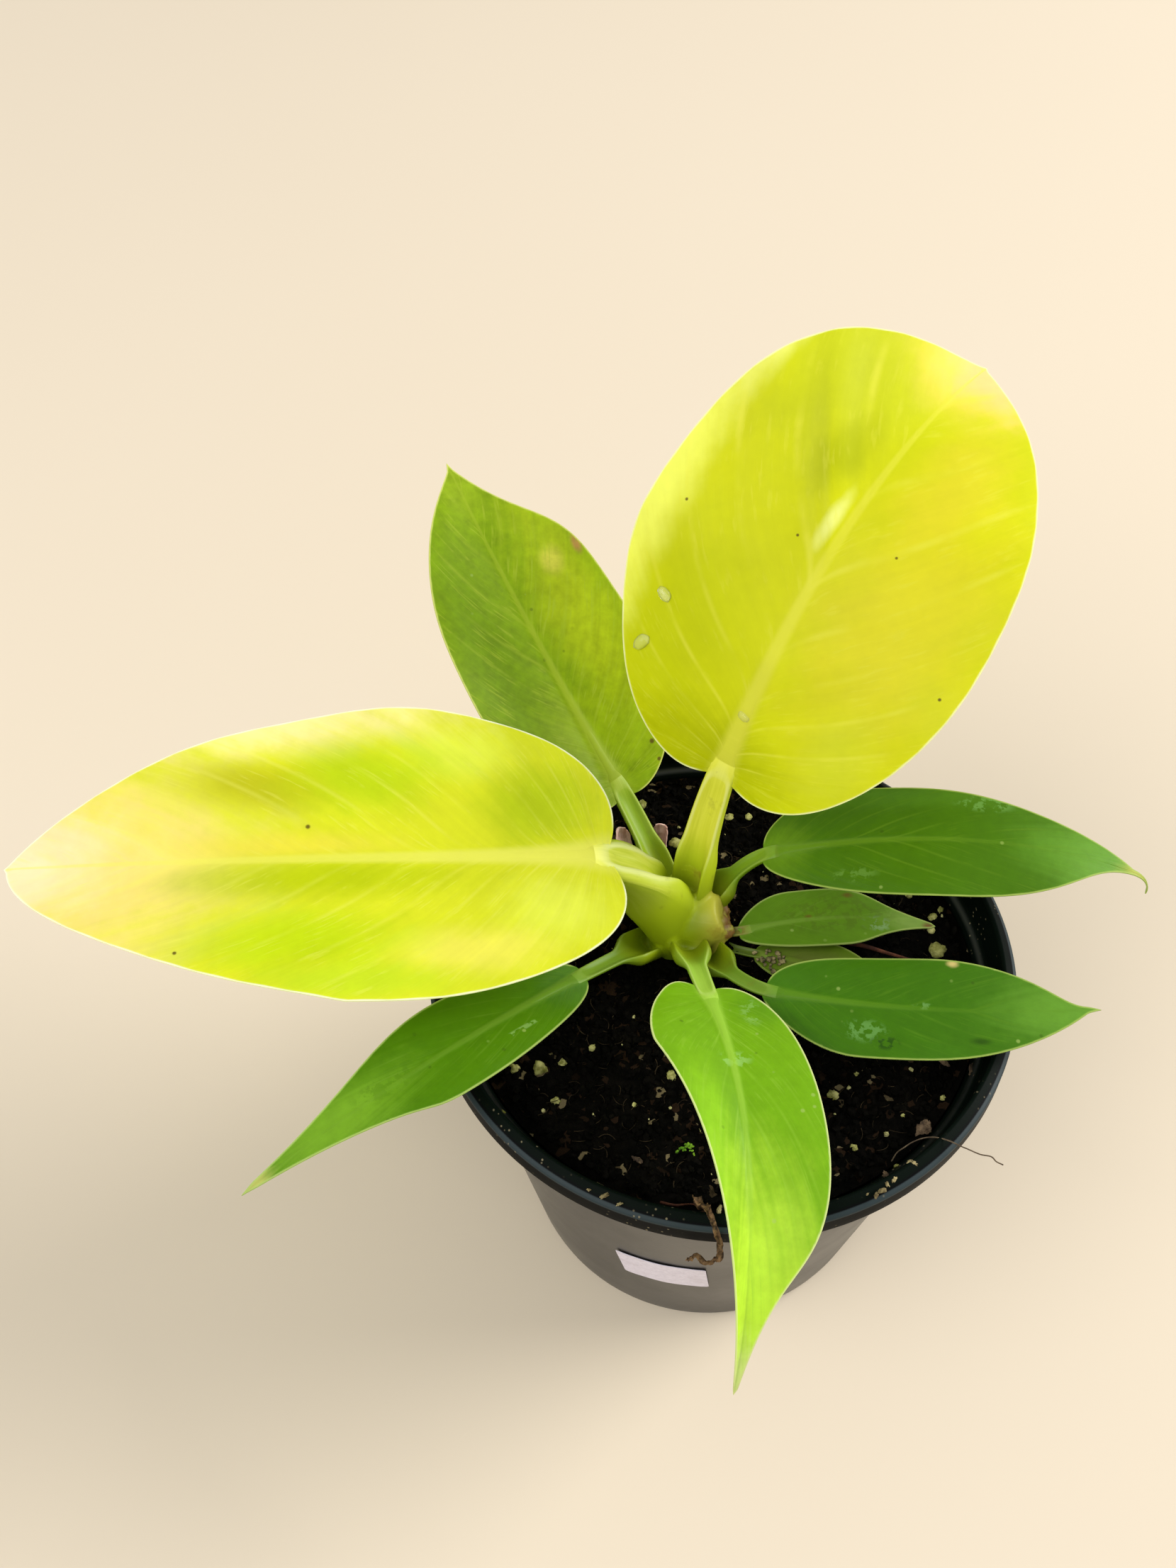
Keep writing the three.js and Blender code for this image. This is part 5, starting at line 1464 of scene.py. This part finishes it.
def make_moss():
    random = np.random.default_rng(SEED + 2)
    tufts = []
    for _ in range(MOSS_COUNT):
        dx, dy = random.normal(0, 0.75, 2)
        x, y = MOSS_PLACE[0] + dx, MOSS_PLACE[1] + 0.6 * dy
        radii = random.uniform(0.25, 0.55) * np.array([1, 0.6, 1.1])
        tufts.append(lump((x, y, ground(x, y) + 0.4), radii, random.uniform(0, FULL_TURN), 0.5, 1))
    material = grain_material("moss", tone(70, 116, 14), tone(158, 196, 50))
    lay("moss_tuft", tufts, material)


def make_strands():
    """The brown twig, the fine root and the hair-thin root that hangs over the rim."""
    twig = tube(curve_through(TWIG, 8), np.linspace(0.65, 0.3, 25), 10)
    fine = tube(curve_through(FINE_ROOT, 8), np.linspace(0.28, 0.14, 25), 8)
    material = grain_material("root_bark", tone(46, 22, 13), tone(98, 56, 36))
    lay("twig_and_root", [twig, fine], material)
    thread = tube(curve_through(ROOT_THREAD, 5), 0.14, 6)
    material = grain_material("root_thread", tone(60, 48, 36), tone(120, 104, 80), 0.05)
    lay("root_thread", [thread], material)


def fibre_tree(material):
    """Short curved fibres that lie over a surface."""
    flow = Flow("Fibre scatter")
    density, seed = flow.size("Density"), flow.size("Seed", "Int")
    length, radius = flow.size("Length"), flow.size("Radius")
    spread = flow.scattered(density, seed)
    half_length = flow.times(length, 0.5)
    back = flow.times(length, -0.5)
    bow = flow.node("GeometryNodeCurveQuadraticBezier", {
        "Resolution": 6, "Start": flow.joined(back, 0.0, 0.0),
        "Middle": flow.joined(0.0, flow.times(length, 0.45), flow.times(length, 0.2)),
        "End": flow.joined(half_length, 0.0, 0.0)})
    ring = flow.node("GeometryNodeCurvePrimitiveCircle", {"Resolution": 4, "Radius": radius})
    strand = flow.node("GeometryNodeCurveToMesh", {0: bow.outputs[0], 1: ring.outputs[0], "Fill Caps": True})
    turn = flow.random((-0.5, -0.4, 0), (0.5, 0.4, FULL_TURN), 8, vector=True)
    scale = flow.random(0.3, 1.2, 9)
    placed = flow.copies(spread, strand, Rotation=turn, Scale=scale)
    return flow.finish(placed.outputs[0], material)


def make_fibres():
    points, faces = soil_sheet(54)
    piece = make_mesh("soil_fibres", points + (0, 0, 0.15), faces, [])
    material = grain_material("fibre", tone(14, 12, 8), tone(70, 58, 40), 0.05, 0.03)
    sizes = {"Density": 70000.0, "Seed": SEED + 5, "Length": 3.2 * MM, "Radius": 0.08 * MM}
    return settle(grow(piece, fibre_tree(material), sizes), "potting_mix")


def make_drops():
    """Drops of water on the large leaf, the last one on its midrib."""
    shade = Shade("clear_water")
    clear = shade.node("ShaderNodeBsdfTransparent", {"Color": (0.98, 0.98, 0.95, 1)}).outputs[0]
    shine = shade.node("ShaderNodeBsdfGlossy", {"Color": (1, 1, 1, 1), "Roughness": 0.08}).outputs[0]
    rim = shade.node("ShaderNodeLayerWeight", {"Blend": 0.2}).outputs["Fresnel"]
    # Painted light: a pale diffuse share stands in for the light that the drops gather.
    lens = shade.node("ShaderNodeBsdfDiffuse", {"Color": tone(250, 254, 190)}).outputs[0]
    clear_with_painted_glow = shade.node("ShaderNodeMixShader", {0: 0.14, 1: clear, 2: lens}).outputs[0]
    material = shade.finish(shade.node("ShaderNodeMixShader", {0: rim, 1: clear_with_painted_glow, 2: shine}).outputs[0])
    spec = LEAVES[0]
    rib = Midrib(spec)
    skins = []
    for along, across, radius in WATER_DROPS:
        points, normals = blade_points(spec, rib, np.array([along]), np.array([across]))
        (ahead,) = rib.at(along)[1]
        up = normals[0]
        ahead = unit(ahead - ahead.dot(up) * up)
        side = np.cross(up, ahead)
        flat, faces = lump((0, 0, 0), np.array([1.25, 0.8, 0.55]) * radius, along, 0.12)
        flat[:, 2] = np.maximum(flat[:, 2], -0.1 * radius)
        centre = points[0] + up * (BLADE_THICK / 2 + 0.1 * radius)
        skins.append((centre + flat @ np.array([ahead, side, up]), faces))
    settle(make_mesh("water_drops", *join_skins(skins), [material]), "yellow_leaf")


# Floor, lights and camera
FLOOR_REACH = 4000
FLOOR_SIDES = 96
FLOOR_SINK = 0.02


def make_floor():
    shade = Shade("studio_floor")
    spot = shade.object_place()
    cloud = shade.smooth(shade.noise(spot, 1.5, 2), 0.3, 0.7, 0.3)
    color = shade.mix(cloud, tone(206, 192, 170), tone(210, 197, 176))
    material = shade.finish(shade.skin(color, 0.75, shine=0.2))
    ring = FLOOR_REACH * circle(FLOOR_SIDES) - (0, 0, FLOOR_SINK)
    floor = make_mesh("studio_floor", ring, [tuple(range(FLOOR_SIDES))], [material])


def add_light(name, place, target, size, power, color):
    light = bpy.data.lights.new(name, "AREA")
    light.shape = "DISK"
    light.size = size
    light.energy = power
    light.color = color
    lamp = bpy.data.objects.new(name, light)
    bpy.context.scene.collection.objects.link(lamp)
    lamp.location = place
    lamp.rotation_euler = (Vector(target) - Vector(place)).to_track_quat("-Z", "Y").to_euler()


def make_lights():
    scene = bpy.context.scene
    world = bpy.data.worlds.new("soft_room")
    world.use_nodes = True
    background = world.node_tree.nodes["Background"]
    background.inputs["Color"].default_value = (0.93, 0.96, 1.0, 1)
    background.inputs["Strength"].default_value = 0.62
    scene.world = world
    add_light("window", (2.4, 0.6, 1.5), (0, 0, 0.1), 1.8, 94, (1.0, 0.985, 0.96))
    add_light("ceiling", (-1.4, -1.2, 2.3), (0, 0, 0.1), 2.4, 58, (1.0, 0.99, 0.97))
    scene.view_settings.view_transform = "Standard"


def make_camera():
    """The photograph's own camera, worked out from the pot."""
    ahead = Vector((0, math.cos(CAMERA_PITCH), -math.sin(CAMERA_PITCH)))
    level = Vector((1, 0, 0))
    up = level.cross(ahead)
    right = math.cos(CAMERA_ROLL) * level + math.sin(CAMERA_ROLL) * up
    top = math.cos(CAMERA_ROLL) * up - math.sin(CAMERA_ROLL) * level
    data = bpy.data.cameras.new("photo_camera")
    data.sensor_width = SENSOR
    data.lens = SENSOR * FOCAL_PIXELS / PHOTO_HEIGHT
    data.clip_start = 0.01
    camera = bpy.data.objects.new("photo_camera", data)
    bpy.context.scene.collection.objects.link(camera)
    turn = Matrix((right, top, -ahead)).transposed().to_4x4()
    camera.matrix_world = Matrix.Translation(Vector(CAMERA_PLACE) * MM) @ turn
    bpy.context.scene.camera = camera


make_camera()
make_lights()
make_floor()
for spec in LEAVES:
    make_leaf(spec)
make_crown()
make_drops()
PAPERY = dried_material("papery_sheath", tone(240, 208, 194), tone(190, 144, 128))
for spec in SHEATHS:
    make_dried_sheath(spec, PAPERY)
make_scrap()
make_pot()
make_label()
make_soil(soil_material())
DARK_CRUMB = grain_material("dark_crumb", tone(2, 2, 1), tone(16, 14, 10), shine=0.02)
scatter("soil_crumbs", DARK_CRUMB, "potting_mix", 56, Density=900000.0, Seed=SEED, Smallest=0.22 * MM,
        Largest=1.15 * MM, Flatness=0.6, Longness=1.5, Crumple=0.7 * MM)
PALE_GRAIN = grain_material("pale_grain", tone(120, 116, 64), tone(206, 200, 140))
scatter("perlite_dust", PALE_GRAIN, "potting_mix", 55, Density=14000.0, Seed=SEED + 1, Smallest=0.15 * MM,
        Largest=0.75 * MM, Flatness=0.7, Longness=1.1, Crumple=0.5 * MM)
make_grains()
make_leaf_crumbs()
make_moss()
make_strands()
make_fibres()
